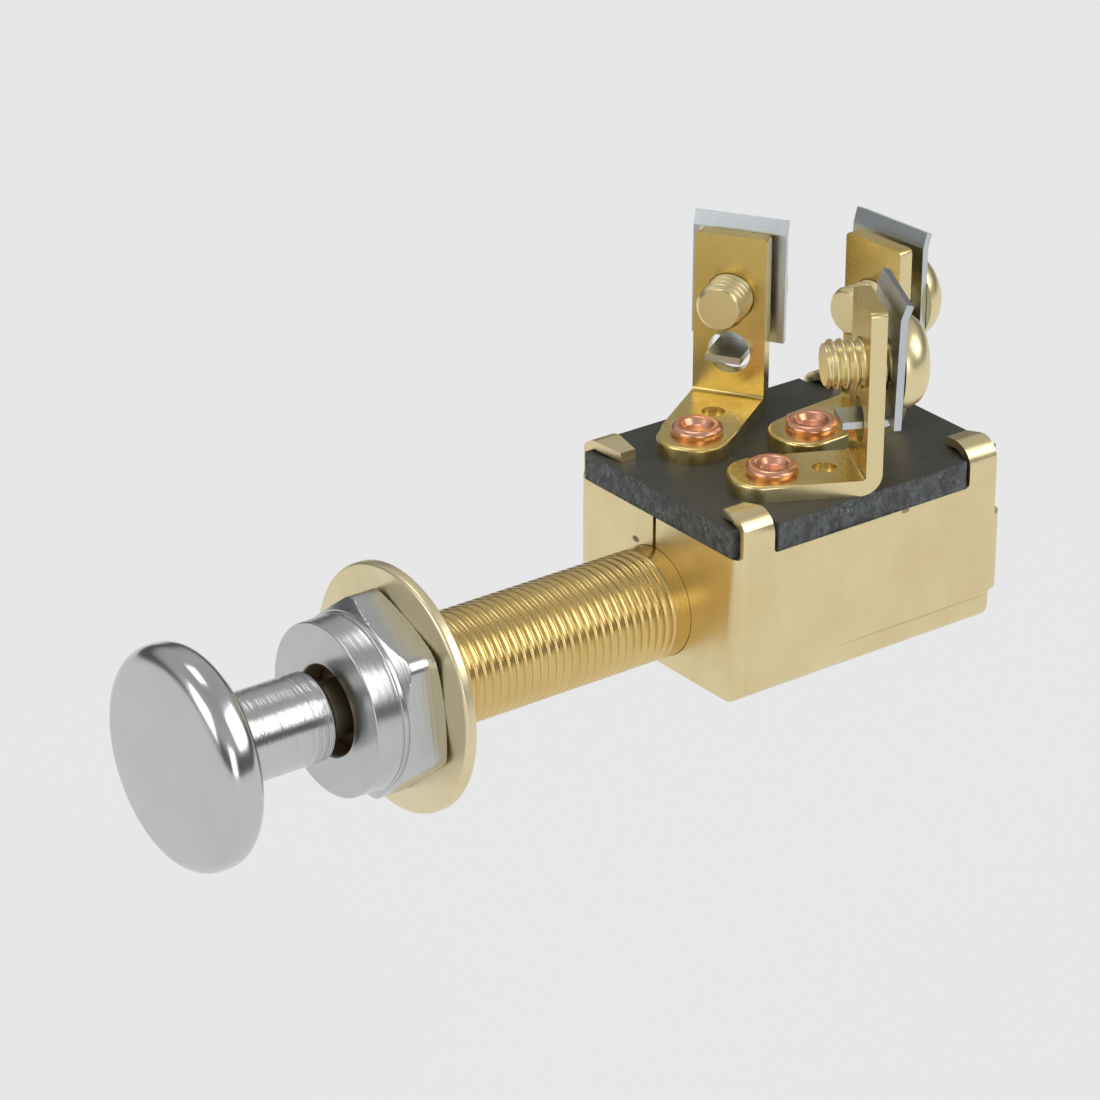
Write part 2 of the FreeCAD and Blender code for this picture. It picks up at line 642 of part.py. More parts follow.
def add_tab(body, side, kind, start, root_end):
    """Raises one tab from a side wall, over the board's edge and down onto its top.

    Its foot widens into the wall in a small radius at each side that has wall beside it.
    """
    width, reach, arch = (f"{kind}_{size}" for size in ("width", "reach", "arch"))
    underside = "board_top + seat_gap"
    strip = new_sketch(body, "XZ_Plane", f"0 - {start} - {width}")
    outline(strip, [
        (f"{side}half_width", "wall_top_z - sheet_thickness"),
        (f"{side}half_width", f"{underside} + sheet_thickness + {arch}", "tab_bend"),
        (f"{side}(half_width - {reach})", f"{underside} + sheet_thickness"),
        (f"{side}(half_width - {reach} - 0.1)", underside),
        (f"{side}inner_half", f"{underside} + {arch}", "tab_bend - sheet_thickness"),
        (f"{side}inner_half", "wall_top_z - sheet_thickness"),
    ])
    pad(body, strip, width)
    root = new_sketch(body, "YZ_Plane", "inner_half" if side == "" else "0 - half_width")
    end = f"{start} + {width}"
    corners = [
        (f"{start} - tab_root - seat_gap", "wall_top_z - tab_root"),
        (f"{start} - tab_root - seat_gap", "wall_top_z"),
        (start, "wall_top_z", "tab_root"),
        (start, "wall_top_z + tab_root + seat_gap"),
    ]
    if root_end == "upper_wall_end":
        corners += [(end, "wall_top_z + tab_root + seat_gap"), (end, "wall_top_z - tab_root")]
    else:
        corners += [
            (end, "wall_top_z + tab_root + seat_gap"),
            (end, "wall_top_z", "tab_root"),
            (f"{root_end} + seat_gap", "wall_top_z"),
            (f"{root_end} + seat_gap", "wall_top_z - tab_root"),
        ]
    outline(root, corners)
    pad(body, root, "sheet_thickness")
    tip = new_sketch(body, "XY_Plane", "board_top")
    for edge, inward in ((start, 1), (end, -1)):
        outline(tip, [
            (f"{side}(half_width - {reach} - 1)", f"{edge} - ({inward})"),
            (f"{side}(half_width - {reach} * 0.45)", f"{edge} - ({inward})"),
            (f"{side}(half_width - {reach} * 0.45)", edge),
            (f"{side}(half_width - {reach} - 1)", f"{edge} + ({inward}) * tab_taper"),
        ])
    pocket(body, tip, "board_thickness", reverse=True)


# Terminal board: fibre plate, notched at its corners for the tabs.
def make_terminal_board():
    body = new_body("terminal_board")
    plan = new_sketch(body, "XY_Plane", "wall_top_z")
    depth = "inner_half - notch_clearance"
    front = "front_tab_start + tab_width + tab_root + seat_gap * 2"
    left_front = "front_tab_start + long_tab_width + tab_root + seat_gap * 2"
    rear = "rear_tab_start - tab_root - seat_gap * 2"
    outline(plan, [
        (f"0 - ({depth})", "0"), (depth, "0"),
        (depth, front), ("half_width", front),
        ("half_width", rear), (depth, rear),
        (depth, "board_length"), (f"0 - ({depth})", "board_length"),
        (f"0 - ({depth})", rear), ("0 - half_width", rear),
        ("0 - half_width", left_front), (f"0 - ({depth})", left_front),
    ])
    pad(body, plan, "board_thickness")
    holes = new_sketch(body, "XY_Plane", "wall_top_z")
    for station, spot in STATIONS.items():
        circle(holes, spot["x"], spot["y"], "eyelet_shank / 2 + eyelet_clearance")
        bump_x = f"{spot['x']} + bump_offset * sin({station}_swing)"
        bump_y = f"{spot['y']} + bump_offset * cos({station}_swing)"
        circle(holes, bump_x, bump_y, "bump_diameter / 2 + board_clearance")
    pocket(body, holes, "board_thickness * 3", side="Symmetric")


STATIONS = {
    "left": {"x": "0 - front_rivet_x", "y": "front_rivet_y"},
    "right": {"x": "front_rivet_x", "y": "front_rivet_y"},
    "rear": {"x": "0", "y": "rear_rivet_y"},
}


def station_body(kind, station, height="board_top"):
    """A body in a terminal's own frame: Z on its eyelet's axis, foot along +Y."""
    spot = STATIONS[station]
    return new_body(f"{kind}_{station}", (spot["x"], spot["y"], height), f"0 - {station}_swing")


# Terminal: a strip with a rounded foot, bent up into a blade with two holes.
def make_terminal(station):
    body = station_body("terminal", station)
    front = f"{station}_offset"
    height = f"{station}_height"
    overlap = f"{front} - blade_bend - seat_gap"
    end_half = "(blade_width / 2 - foot_taper)"
    foot = new_sketch(body, "XY_Plane")
    outline(foot, [
        ("0 - blade_width / 2", overlap + " + seat_gap"),
        ("0 - blade_width / 2", "0"),
        (f"0 - {end_half}", "0 - foot_end", f"{end_half} * 0.95"),
        (end_half, "0 - foot_end", f"{end_half} * 0.95"),
        ("blade_width / 2", "0"),
        ("blade_width / 2", overlap + " + seat_gap"),
    ])
    pad(body, foot, "terminal_thickness")
    upright = new_sketch(body, "YZ_Plane")
    outline(upright, [
        (overlap, "0"),
        (f"{front} + terminal_thickness", "0", "outer_bend - seat_gap"),
        (f"{front} + terminal_thickness", height),
        (front, height),
        (front, "terminal_thickness", "blade_bend"),
        (overlap, "terminal_thickness"),
    ])
    blade = pad(body, upright, "blade_width", side="Symmetric")
    top = number(height)
    half = number("blade_width / 2")

    def at_top_corner(edge, middle):
        return near(middle.z, top) and near(abs(middle.x), half)

    round_edges(body, blade, "blade_corner", at_top_corner)
    holes = new_sketch(body, "XZ_Plane", f"0 - {front}")
    circle(holes, "0", f"{height} - screw_drop", "screw_major / 2 + screw_clearance")
    circle(holes, "0", f"{height} - tongue_hole_drop", "tongue_hole / 2")
    pocket(body, holes, "terminal_thickness * 3", side="Symmetric")
    bump = new_sketch(body, "XY_Plane")
    circle(bump, "0", "bump_offset", "bump_diameter / 2")
    pad(body, bump, "bump_depth", reverse=True)
    dish = new_sketch(body, "XY_Plane", "terminal_thickness")
    circle(dish, "0", "bump_offset", "bump_diameter / 2 - 0.1")
    pocket(body, dish, "bump_depth")
    eye = new_sketch(body, "XY_Plane")
    circle(eye, "0", "0", "eyelet_shank / 2 + eyelet_clearance")
    pocket(body, eye, "terminal_thickness * 3", side="Symmetric")


# Eyelet: rolled copper flange over the foot, flat contact head under the board.
def make_eyelet(station):
    body = station_body("eyelet", station)
    profile = new_sketch(body, "XZ_Plane")
    top = "terminal_thickness + eyelet_flange_thickness"
    head = "0 - board_thickness - eyelet_head_thickness"
    outline(profile, [
        ("0", head),
        ("eyelet_flange / 2", head, "0.2"),
        ("eyelet_flange / 2", "0 - board_thickness"),
        ("eyelet_shank / 2", "0 - board_thickness"),
        ("eyelet_shank / 2", "terminal_thickness"),
        ("eyelet_flange / 2", "terminal_thickness"),
        ("eyelet_flange / 2", top, "eyelet_flange_thickness * 0.7"),
        ("eyelet_crater / 2", top, "eyelet_flange_thickness * 0.5"),
        ("eyelet_crater / 2 - 0.3", f"{top} - eyelet_crater_depth"),
        ("0", f"{top} - eyelet_crater_depth - 0.25"),
    ])
    turn(body, profile)


# Terminal screw: round slotted head behind the clamp plate, shank through plate and blade.
def make_screw(station, slot_angle):
    body = station_body("screw", station, f"board_top + {station}_height - screw_drop")
    lean = f"tan({station}_lean)"
    clamp_face = f"({station}_offset + terminal_thickness + {station}_gap)"
    above_foot = f"(clamp_height - {station}_rise - screw_drop)"
    plate_back = f"{clamp_face} + {above_foot} * {lean} + clamp_thickness / cos({station}_lean)"
    under = f"{plate_back} + screw_head / 2 * {lean} + seat_gap"
    tip = f"{station}_offset - screw_reach"
    profile = new_sketch(body, "YZ_Plane")
    outline(profile, [
        (tip, "0"),
        (tip, "screw_major / 2 - screw_chamfer"),
        (f"{tip} + screw_chamfer", "screw_major / 2"),
        (under, "screw_major / 2"),
        (under, "screw_head / 2"),
        (f"{under} + screw_head_height", "screw_head / 2", "screw_head_height * 0.85"),
        (f"{under} + screw_head_height", "0"),
    ])
    turn(body, profile, axis="H_Axis")
    slot = new_sketch(body, "XZ_Plane", f"0 - ({under}) - screw_head_height - 1")
    corners = [(-1, -1), (1, -1), (1, 1), (-1, 1)]
    outline(slot, [
        (f"{u} * screw_head * cos({slot_angle}) - {v} * slot_width / 2 * sin({slot_angle})",
         f"{u} * screw_head * sin({slot_angle}) + {v} * slot_width / 2 * cos({slot_angle})")
        for u, v in corners
    ])
    pocket(body, slot, "slot_depth + 1", reverse=True)


# Clamp plate: flared at the top, with a tongue bent through the blade's lower hole.
def make_clamp(station):
    body = station_body("clamp", station)
    lean = f"tan({station}_lean)"
    face = f"({station}_offset + terminal_thickness + {station}_gap)"
    top = f"({station}_height + {station}_rise)"
    foot = f"({top} - clamp_height)"
    lip = f"({top} - lip_height)"
    face_at_lip = f"{face} + (clamp_height - lip_height) * {lean}"
    face_at_top = f"{face} + clamp_height * {lean} + lip_flare"
    plate = new_sketch(body, "YZ_Plane", f"{station}_shift")
    outline(plate, [
        (face, foot),
        (f"{face} + clamp_thickness", foot),
        (f"{face_at_lip} + clamp_thickness", lip, "1"),
        (f"{face_at_top} + clamp_thickness * 0.95", f"{top} - 0.2"),
        (face_at_top, top),
        (face_at_lip, lip, "0.6"),
    ])
    pad(body, plate, "clamp_width", side="Symmetric")
    tongue = new_sketch(body, "YZ_Plane")
    tip = f"{station}_offset - tongue_reach"
    upper = f"{foot} - tongue_drop"
    outline(tongue, [
        (f"{face} + clamp_thickness", f"{foot} + clamp_thickness"),
        (face, f"{foot} + clamp_thickness"),
        (face, upper),
        (tip, upper),
        (tip, f"{upper} - clamp_thickness"),
        (f"{face} + clamp_thickness", f"{upper} - clamp_thickness", "clamp_thickness * 1.1"),
    ])
    pad(body, tongue, "tongue_width", side="Symmetric")
    hole = new_sketch(body, "XZ_Plane", f"0 - {face}")
    circle(hole, "0", f"{station}_height - screw_drop", "screw_major / 2 + clamp_hole_clearance")
    pocket(body, hole, "clamp_thickness * 4", side="Symmetric")


# Carriage: insulating block with side rails, a recess for the bridge and bores for rod and springs.
def make_carriage():
    body = new_body("carriage")
    section = new_sketch(body, "XZ_Plane", "0 - carriage_rear")
    rail_top = "wall_top_z - rail_gap"
    outline(section, [
        ("0 - carriage_half", "carriage_floor", "floor_bend - sheet_thickness"),
        ("carriage_half", "carriage_floor", "floor_bend - sheet_thickness"),
        ("carriage_half", rail_top),
        ("recess_half", rail_top),
        ("recess_half", "recess_floor"),
        ("0 - recess_half", "recess_floor"),
        ("0 - recess_half", rail_top),
        ("0 - carriage_half", rail_top),
    ])
    pad(body, section, "carriage_length")
    for start in ("carriage_front", "carriage_rear - end_wall"):
        wall = new_sketch(body, "XY_Plane", "recess_floor")
        outline(wall, [
            ("0 - recess_half", start),
            ("recess_half", start),
            ("recess_half", f"{start} + end_wall"),
            ("0 - recess_half", f"{start} + end_wall"),
        ])
        pad(body, wall, "eyelet_head_z - end_wall_gap - recess_floor")
    bore = new_sketch(body, "XZ_Plane", "0 - carriage_rear - 1")
    circle(bore, "0", "0", "tail_diameter / 2 + tail_clearance")
    pocket(body, bore, "carriage_length + 2", reverse=True)
    wells = new_sketch(body, "XY_Plane")
    for side in ("", "0 - "):
        circle(wells, f"{side}ball_x", "ball_y", "ball_bore")
    pocket(body, wells, "case_width * 2", side="Symmetric")


# Contact bridge: copper plate with one arm set back, so that it meets the eyelets in turn.
def make_contact_bridge():
    body = new_body("contact_bridge")
    half = "recess_half - bridge_play"
    front = "carriage_front + end_wall + bridge_play"
    plan = new_sketch(body, "XY_Plane", "bridge_bottom")
    outline(plan, [
        (f"0 - ({half})", front, "0.6"),
        ("bridge_split_x", front, "0.6"),
        ("bridge_split_x", f"{front} + bridge_step"),
        (half, f"{front} + bridge_step", "0.6"),
        (half, "carriage_rear - end_wall - bridge_play", "0.6"),
        (f"0 - ({half})", "carriage_rear - end_wall - bridge_play", "0.6"),
    ])
    pad(body, plan, "bridge_thickness")


# Detent ball, in the lower end of its bore.
def make_detent_ball(name, x_formula):
    ball = doc.addObject("Part::Sphere", name)
    ball.Label = name
    ball.setExpression("Radius", bound("ball_diameter / 2"))
    for axis, formula in zip("xyz", (x_formula, "ball_y", "ball_z")):
        ball.setExpression(f"Placement.Base.{axis}", bound(formula))


# Contact spring: a coil between ball and bridge.
def make_contact_spring(name, x_formula):
    coil = doc.addObject("Part::Helix", name + "_coil")
    coil.LocalCoord = 0
    coil.setExpression("Height", bound("spring_top - spring_bottom - spring_wire"))
    coil.setExpression("Pitch", bound("(spring_top - spring_bottom - spring_wire) / spring_turns"))
    coil.setExpression("Radius", bound("ball_diameter / 2 - spring_wire / 2 - 0.05"))
    wire = doc.addObject("Part::Circle", name + "_wire")
    wire.setExpression("Radius", bound("spring_wire / 2"))
    wire.Placement.Rotation = FreeCAD.Rotation(Vector(1, 0, 0), 90)
    wire.setExpression("Placement.Base.x", bound("ball_diameter / 2 - spring_wire / 2 - 0.05"))
    doc.recompute()
    spring = doc.addObject("Part::Sweep", name)
    spring.Label = name
    spring.Sections = [wire]
    spring.Spine = (coil, [f"Edge{i}" for i in range(1, len(coil.Shape.Edges) + 1)])
    spring.Solid = True
    spring.Frenet = True
    for axis, formula in zip("xyz", (x_formula, "ball_y", "spring_bottom + spring_wire / 2")):
        spring.setExpression(f"Placement.Base.{axis}", bound(formula))


def build():
    """Makes every piece, and returns the objects that become files."""
    make_knob()
    make_plunger_rod()
    make_rod_clip()
    make_threaded_bushing()
    make_panel_nut()
    make_panel_washer()
    make_case()
    make_terminal_board()
    for station, slot_angle in (("left", 25), ("right", 115), ("rear", 70)):
        make_terminal(station)
        make_eyelet(station)
        make_clamp(station)
        make_screw(station, slot_angle)
    make_carriage()
    make_contact_bridge()
    for side, x_formula in (("left", "0 - ball_x"), ("right", "ball_x")):
        make_detent_ball("detent_ball_" + side, x_formula)
        make_contact_spring("contact_spring_" + side, x_formula)
    doc.recompute()
    helpers = ("_coil", "_wire")
    kinds = ("PartDesign::Body", "Part::Sphere", "Part::Sweep")
    return [item for item in doc.Objects if item.TypeId in kinds and not item.Name.endswith(helpers)]


def check(pieces):
    """Stops if any object failed, or a piece is not one valid closed solid."""
    for item in doc.Objects:
        if {"Invalid", "Error"} & set(item.State):
            raise RuntimeError(f"{item.Name} failed: {item.State}")
    for piece in pieces:
        shape = piece.Shape
        if shape.isNull() or not shape.isValid() or len(shape.Solids) != 1:
            raise RuntimeError(f"{piece.Label} is not one valid solid")


def export(pieces):
    """Writes one STEP file for each piece."""
    os.makedirs("parts", exist_ok=True)
    for piece in pieces:
        piece.Shape.exportStep(f"parts/{piece.Label}.step")
        box = piece.Shape.BoundBox
        extent = " x ".join(f"{side:.2f}" for side in (box.XLength, box.YLength, box.ZLength))
        print(f"{piece.Label}: {piece.Shape.Volume:.2f} mm3, {extent}")


all_pieces = build()
check(all_pieces)
export(all_pieces)
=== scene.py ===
"""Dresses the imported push-pull switch: finishes, threads, turned and pressed detail."""

import json
import logging
import math
from collections.abc import Callable, Iterable, Sequence
from dataclasses import dataclass
from enum import Enum
from typing import Any

import bmesh
import bpy
from mathutils import Matrix, Vector, noise

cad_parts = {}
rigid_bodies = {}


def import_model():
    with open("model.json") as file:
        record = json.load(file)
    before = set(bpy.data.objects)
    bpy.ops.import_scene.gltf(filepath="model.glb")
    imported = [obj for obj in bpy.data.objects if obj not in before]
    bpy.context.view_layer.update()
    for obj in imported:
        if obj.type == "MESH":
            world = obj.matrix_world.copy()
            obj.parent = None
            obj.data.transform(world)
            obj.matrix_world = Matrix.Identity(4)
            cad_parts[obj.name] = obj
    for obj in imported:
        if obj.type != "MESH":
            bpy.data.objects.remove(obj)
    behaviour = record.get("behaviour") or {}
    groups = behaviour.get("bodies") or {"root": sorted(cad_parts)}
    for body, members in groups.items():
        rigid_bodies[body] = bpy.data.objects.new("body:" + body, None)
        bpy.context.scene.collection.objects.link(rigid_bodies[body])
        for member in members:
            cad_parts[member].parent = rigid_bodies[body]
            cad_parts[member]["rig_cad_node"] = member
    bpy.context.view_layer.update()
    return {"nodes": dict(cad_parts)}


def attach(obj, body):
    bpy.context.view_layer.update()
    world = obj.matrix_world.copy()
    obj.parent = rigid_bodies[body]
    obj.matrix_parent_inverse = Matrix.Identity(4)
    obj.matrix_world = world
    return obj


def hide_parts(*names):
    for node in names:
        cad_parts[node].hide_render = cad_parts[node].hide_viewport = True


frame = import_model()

LOG = logging.getLogger("switch")
# Lengths are in millimetres unless a line says otherwise; MM turns them into metres
MM = 0.001
PITCH = 25.4 / 32
BOARD_TOP = 10.0
HALF_FLAT = math.pi / 6
Colour = tuple[float, float, float]
Point = tuple[float, float]


@dataclass(frozen=True)
class Seat:
    """Where a terminal stands.

    Attributes:
        label: The word that ends the names of its nodes.
        x: Its eyelet's place across the case.
        y: Its eyelet's place along the case.
        swing: Its turn from +Y in degrees.
        offset: From the eyelet's axis to the blade's front face.
        height: The blade's top above the board.
        gap: From the blade's rear face to the clamp plate's foot.
        rise: From the blade's top up to the clamp plate's.
        lean: The clamp plate's lean in degrees.
    """

    label: str
    x: float
    y: float
    swing: float
    offset: float
    height: float
    gap: float
    rise: float
    lean: float

    def place(self) -> Matrix:
        """The terminal's own frame: origin on the eyelet at the board, foot along +Y."""
        at = Matrix.Translation(Vector((self.x, self.y, BOARD_TOP)) * MM)
        return at @ Matrix.Rotation(-math.radians(self.swing), 4, "Z")


class Station(Enum):
    """The three terminals."""

    LEFT = Seat("left", -4.95, 8.1, -33.0, 8.35, 15.8, 1.0, 0.85, 0.3)
    RIGHT = Seat("right", 4.95, 8.1, 27.0, 7.15, 16.05, 0.55, 1.0, 1.6)
    REAR = Seat("rear", 0.0, 16.4, -4.5, 6.7, 16.2, 1.0, 1.05, 0.3)


class Along(Enum):
    """The way that a finish's grain runs, as factors on the scale of its noise."""

    Z = (1.0, 1.0, 0.06)
    ROUND_Y = (0.02, 1.0, 0.02)
    NONE = (1.0, 1.0, 1.0)


def srgb(red: int, green: int, blue: int) -> Colour:
    """Turns an 8-bit screen colour into the linear one that shaders take."""
    return tuple(((c / 255 + 0.055) / 1.055) ** 2.4 if c > 10 else c / 3294.6 for c in (red, green, blue))


# Shader maths


class Wire:
    """A shader socket that can stand in a Python expression."""

    def __init__(self, graph: "Graph", socket: bpy.types.NodeSocket | None) -> None:
        """Wraps a socket of a graph."""
        self.graph, self.socket = graph, socket

    def _math(self, operation: str, first: Any, second: Any = 0.0) -> "Wire":
        """Adds a Math node on one or two values or wires."""
        return self.graph.add("Math", {"operation": operation}, {0: first, 1: second})

    def __add__(self, other: Any) -> "Wire":
        """self + other"""
        return self._math("ADD", self, other)

    __radd__ = __add__

    def __mul__(self, other: Any) -> "Wire":
        """self * other"""
        return self._math("MULTIPLY", self, other)

    __rmul__ = __mul__

    def __sub__(self, other: Any) -> "Wire":
        """self - other"""
        return self._math("SUBTRACT", self, other)

    def __rsub__(self, other: Any) -> "Wire":
        """other - self"""
        return self._math("SUBTRACT", other, self)

    def __lt__(self, other: Any) -> "Wire":
        """1 where self < other, and 0 elsewhere"""
        return self._math("LESS_THAN", self, other)

    def __gt__(self, other: Any) -> "Wire":
        """1 where self > other, and 0 elsewhere"""
        return self._math("GREATER_THAN", self, other)

    def __abs__(self) -> "Wire":
        """abs(self)"""
        return self._math("ABSOLUTE", self)


class Graph:
    """A material's nodes."""

    def __init__(self, name: str, owner: bpy.types.ID | None = None) -> None:
        """Starts an empty material of that name, or empties another owner's nodes."""
        self.material = owner or bpy.data.materials.new(name)
        self.material.use_nodes = True
        self.tree = self.material.node_tree
        self.tree.nodes.clear()

    def add(self, kind: str, settings: dict[str, Any] | None = None,
            sockets: dict[Any, Any] | None = None, out: int | str = 0) -> Wire:
        """Adds one node.

        Args:
            kind: The node's type without its ShaderNode prefix.
            settings: Properties, set first; "stops" is a ramp's list of (position, value).
            sockets: Values or wires by input name or number.
            out: The output that the result stands for.

        Returns:
            The wire of that output.
        """
        node = self.tree.nodes.new("ShaderNode" + kind)
        for key, value in (settings or {}).items():
            if key == "stops":
                self._set_stops(node.color_ramp, value)
            else:
                setattr(node, key, value)
        for key, value in (sockets or {}).items():
            if isinstance(value, Wire):
                self.tree.links.new(value.socket, node.inputs[key])
            else:
                node.inputs[key].default_value = value
        return Wire(self, node.outputs[out] if len(node.outputs) else None)

    @staticmethod
    def _set_stops(ramp: bpy.types.ColorRamp, stops: Sequence[Point]) -> None:
        """Replaces a ramp's stops."""
        while len(ramp.elements) > 1:
            ramp.elements.remove(ramp.elements[-1])
        for index, (position, value) in enumerate(stops):
            element = ramp.elements[0] if index == 0 else ramp.elements.new(position)
            element.position = position
            element.color = (value, value, value, 1.0)

    def ramp(self, factor: Wire, *stops: Point) -> Wire:
        """A ramp of values on a factor."""
        return self.add("ValToRGB", {"stops": stops}, {"Fac": factor})

    def mix(self, factor: Any, first: Any, second: Any) -> Wire:
        """A colour between two, by a factor."""
        sockets = {0: factor}
        for index, colour in ((6, first), (7, second)):
            sockets[index] = colour if isinstance(colour, Wire) else (*colour, 1.0)
        return self.add("Mix", {"data_type": "RGBA"}, sockets, out=2)

    def noise(self, scale: float, stretch: Sequence[float] = (1, 1, 1), detail: float = 3,
              rough: float = 0.55) -> Wire:
        """Noise in the object's own coordinates.

        Args:
            scale: Features per metre.
            stretch: A factor on the scale along each axis.
            detail: Octaves.
            rough: How strong the finer octaves are.

        Returns:
            The wire of a value from 0 to 1.
        """
        factors = [scale * s for s in stretch]
        scaled = self.vector("MULTIPLY", self.place(), factors)
        sockets = {"Vector": scaled, "Scale": 1.0, "Detail": detail, "Roughness": rough}
        return self.add("TexNoise", None, sockets)

    def place(self) -> Wire:
        """The object's own coordinates, in metres."""
        return self.add("TexCoord", out="Object")

    def facing(self) -> Wire:
        """The surface's normal."""
        return self.add("NewGeometry", out="Normal")

    def vector(self, operation: str, first: Wire, second: Any = (0, 0, 0), out: int | str = 0) -> Wire:
        """Adds a Vector Math node on one or two vectors."""
        return self.add("VectorMath", {"operation": operation}, {0: first, 1: second}, out)

    def component(self, vector: Wire, axis: str) -> Wire:
        """One component of a vector."""
        return self.add("SeparateXYZ", None, {0: vector}, out=axis)

    def bump(self, strength: float, depth: float, height: Wire) -> Wire:
        """A normal from a height, of which 1 stands out by the depth."""
        return self.add("Bump", None, {"Strength": strength, "Distance": depth * MM, "Height": height})

    def off_axis(self) -> Wire:
        """Distance from the object's Y axis, in metres."""
        return self.vector("LENGTH", self.vector("MULTIPLY", self.place(), (1, 0, 1)), out="Value")

    def shade(self, **sockets: Any) -> bpy.types.Material:
        """Ends the material in a Principled shader with these sockets, spaces written as _."""
        named = {key.replace("_", " "): value for key, value in sockets.items()}
        shader = self.add("BsdfPrincipled", None, named)
        self.add("OutputMaterial", None, {"Surface": shader})
        return self.material


# A crease mark's darker tone is painted shade along the bend; nicks and stains are real marks.
@dataclass(frozen=True)
class Mark:
    """A nick, stain or crease: an ellipsoid in the object's coordinates."""

    middle: tuple[float, float, float]
    half_size: tuple[float, float, float]
    strength: float = 0.8
    depth: float = 1.0
    tone: Colour = srgb(70, 56, 30)

    def mask(self, graph: Graph) -> Wire:
        """A wire that is 1 inside the mark."""
        moved = graph.vector("SUBTRACT", graph.place(), [c * MM for c in self.middle])
        scaled = graph.vector("DIVIDE", moved, [h * MM for h in self.half_size])
        distance = graph.vector("LENGTH", scaled, out="Value")
        ragged = distance + (graph.noise(3500, detail=3) - 0.5) * 0.6
        return graph.ramp(ragged, (0.75, 1.0), (1.0, 0.0))


@dataclass(frozen=True)
class Metal:
    """What every metal finish has.

    Attributes:
        name: The material's name.
        slot: A slot's name; not used.
        tone: The lighter colour.
        shade: The darker colour.
        roughness: Mean roughness.
        spread: How much the roughness varies.
    """

    name: str
    slot: str
    tone: Colour
    shade: Colour
    roughness: float = 0.3
    spread: float = 0.12


@dataclass(frozen=True)
class Rolled(Metal):
    """Sheet or wire: grain, clouds, fine scratches and marks.

    Attributes:
        grain: The direction of the grain.
        grain_scale: Grains per metre.
        grain_depth: The grain's bump strength.
        patches: Clouds per metre.
        scratches: How strong the scratches are.
        edge_tone: The colour of sheared edges, or None.
        edge_way: The direction that those edges face.
        marks: Nicks, stains and creases; a crease's darker tone is painted shade.
    """

    grain: Along = Along.NONE
    grain_scale: float = 3000
    grain_depth: float = 0.15
    patches: float = 160
    scratches: float = 0.3
    edge_tone: Colour | None = None
    edge_way: tuple[float, float, float] = (1, 0, 0)
    marks: tuple[Mark, ...] = ()

    def build(self) -> bpy.types.Material:
        """Makes the material's nodes."""
        graph = Graph(self.name)
        grain = graph.noise(self.grain_scale, self.grain.value, 4, 0.65)
        patch = graph.noise(self.patches, detail=3)
        hair = graph.noise(self.grain_scale * 0.5, [1.15 - s for s in self.grain.value], 2, 0.5)
        lines = graph.ramp(hair, (0.60, 0.0), (0.68, 1.0))
        clouds = graph.ramp(patch, (0.35, 0.0), (0.68, 1.0))
        colour = graph.mix(clouds * 0.6 + grain * 0.3 - 0.15, self.tone, self.shade)
        colour = graph.mix(lines * (0.25 * self.scratches), colour, self.tone)
        if self.edge_tone:
            sideways = graph.vector("DOT_PRODUCT", graph.facing(), self.edge_way, out="Value")
            on_edge = graph.ramp(abs(sideways), (0.6, 0.0), (0.85, 1.0))
            colour = graph.mix(on_edge, colour, self.edge_tone)
        roughness = self.roughness + (grain - 0.5) * self.spread + (clouds - 0.5) * (self.spread * 0.7)
        height = grain + lines * (-0.6 * self.scratches)
        # A mark's tone darkens the colour: real for nicks and stains, painted shade for a crease.
        for mark in self.marks:
            inside = mark.mask(graph)
            colour = graph.mix(inside * mark.strength, colour, mark.tone)
            height = height - inside * mark.depth
        normal = graph.bump(self.grain_depth, 0.04, height)
        return graph.shade(Base_Color=colour, Metallic=1.0, Roughness=roughness, Normal=normal)


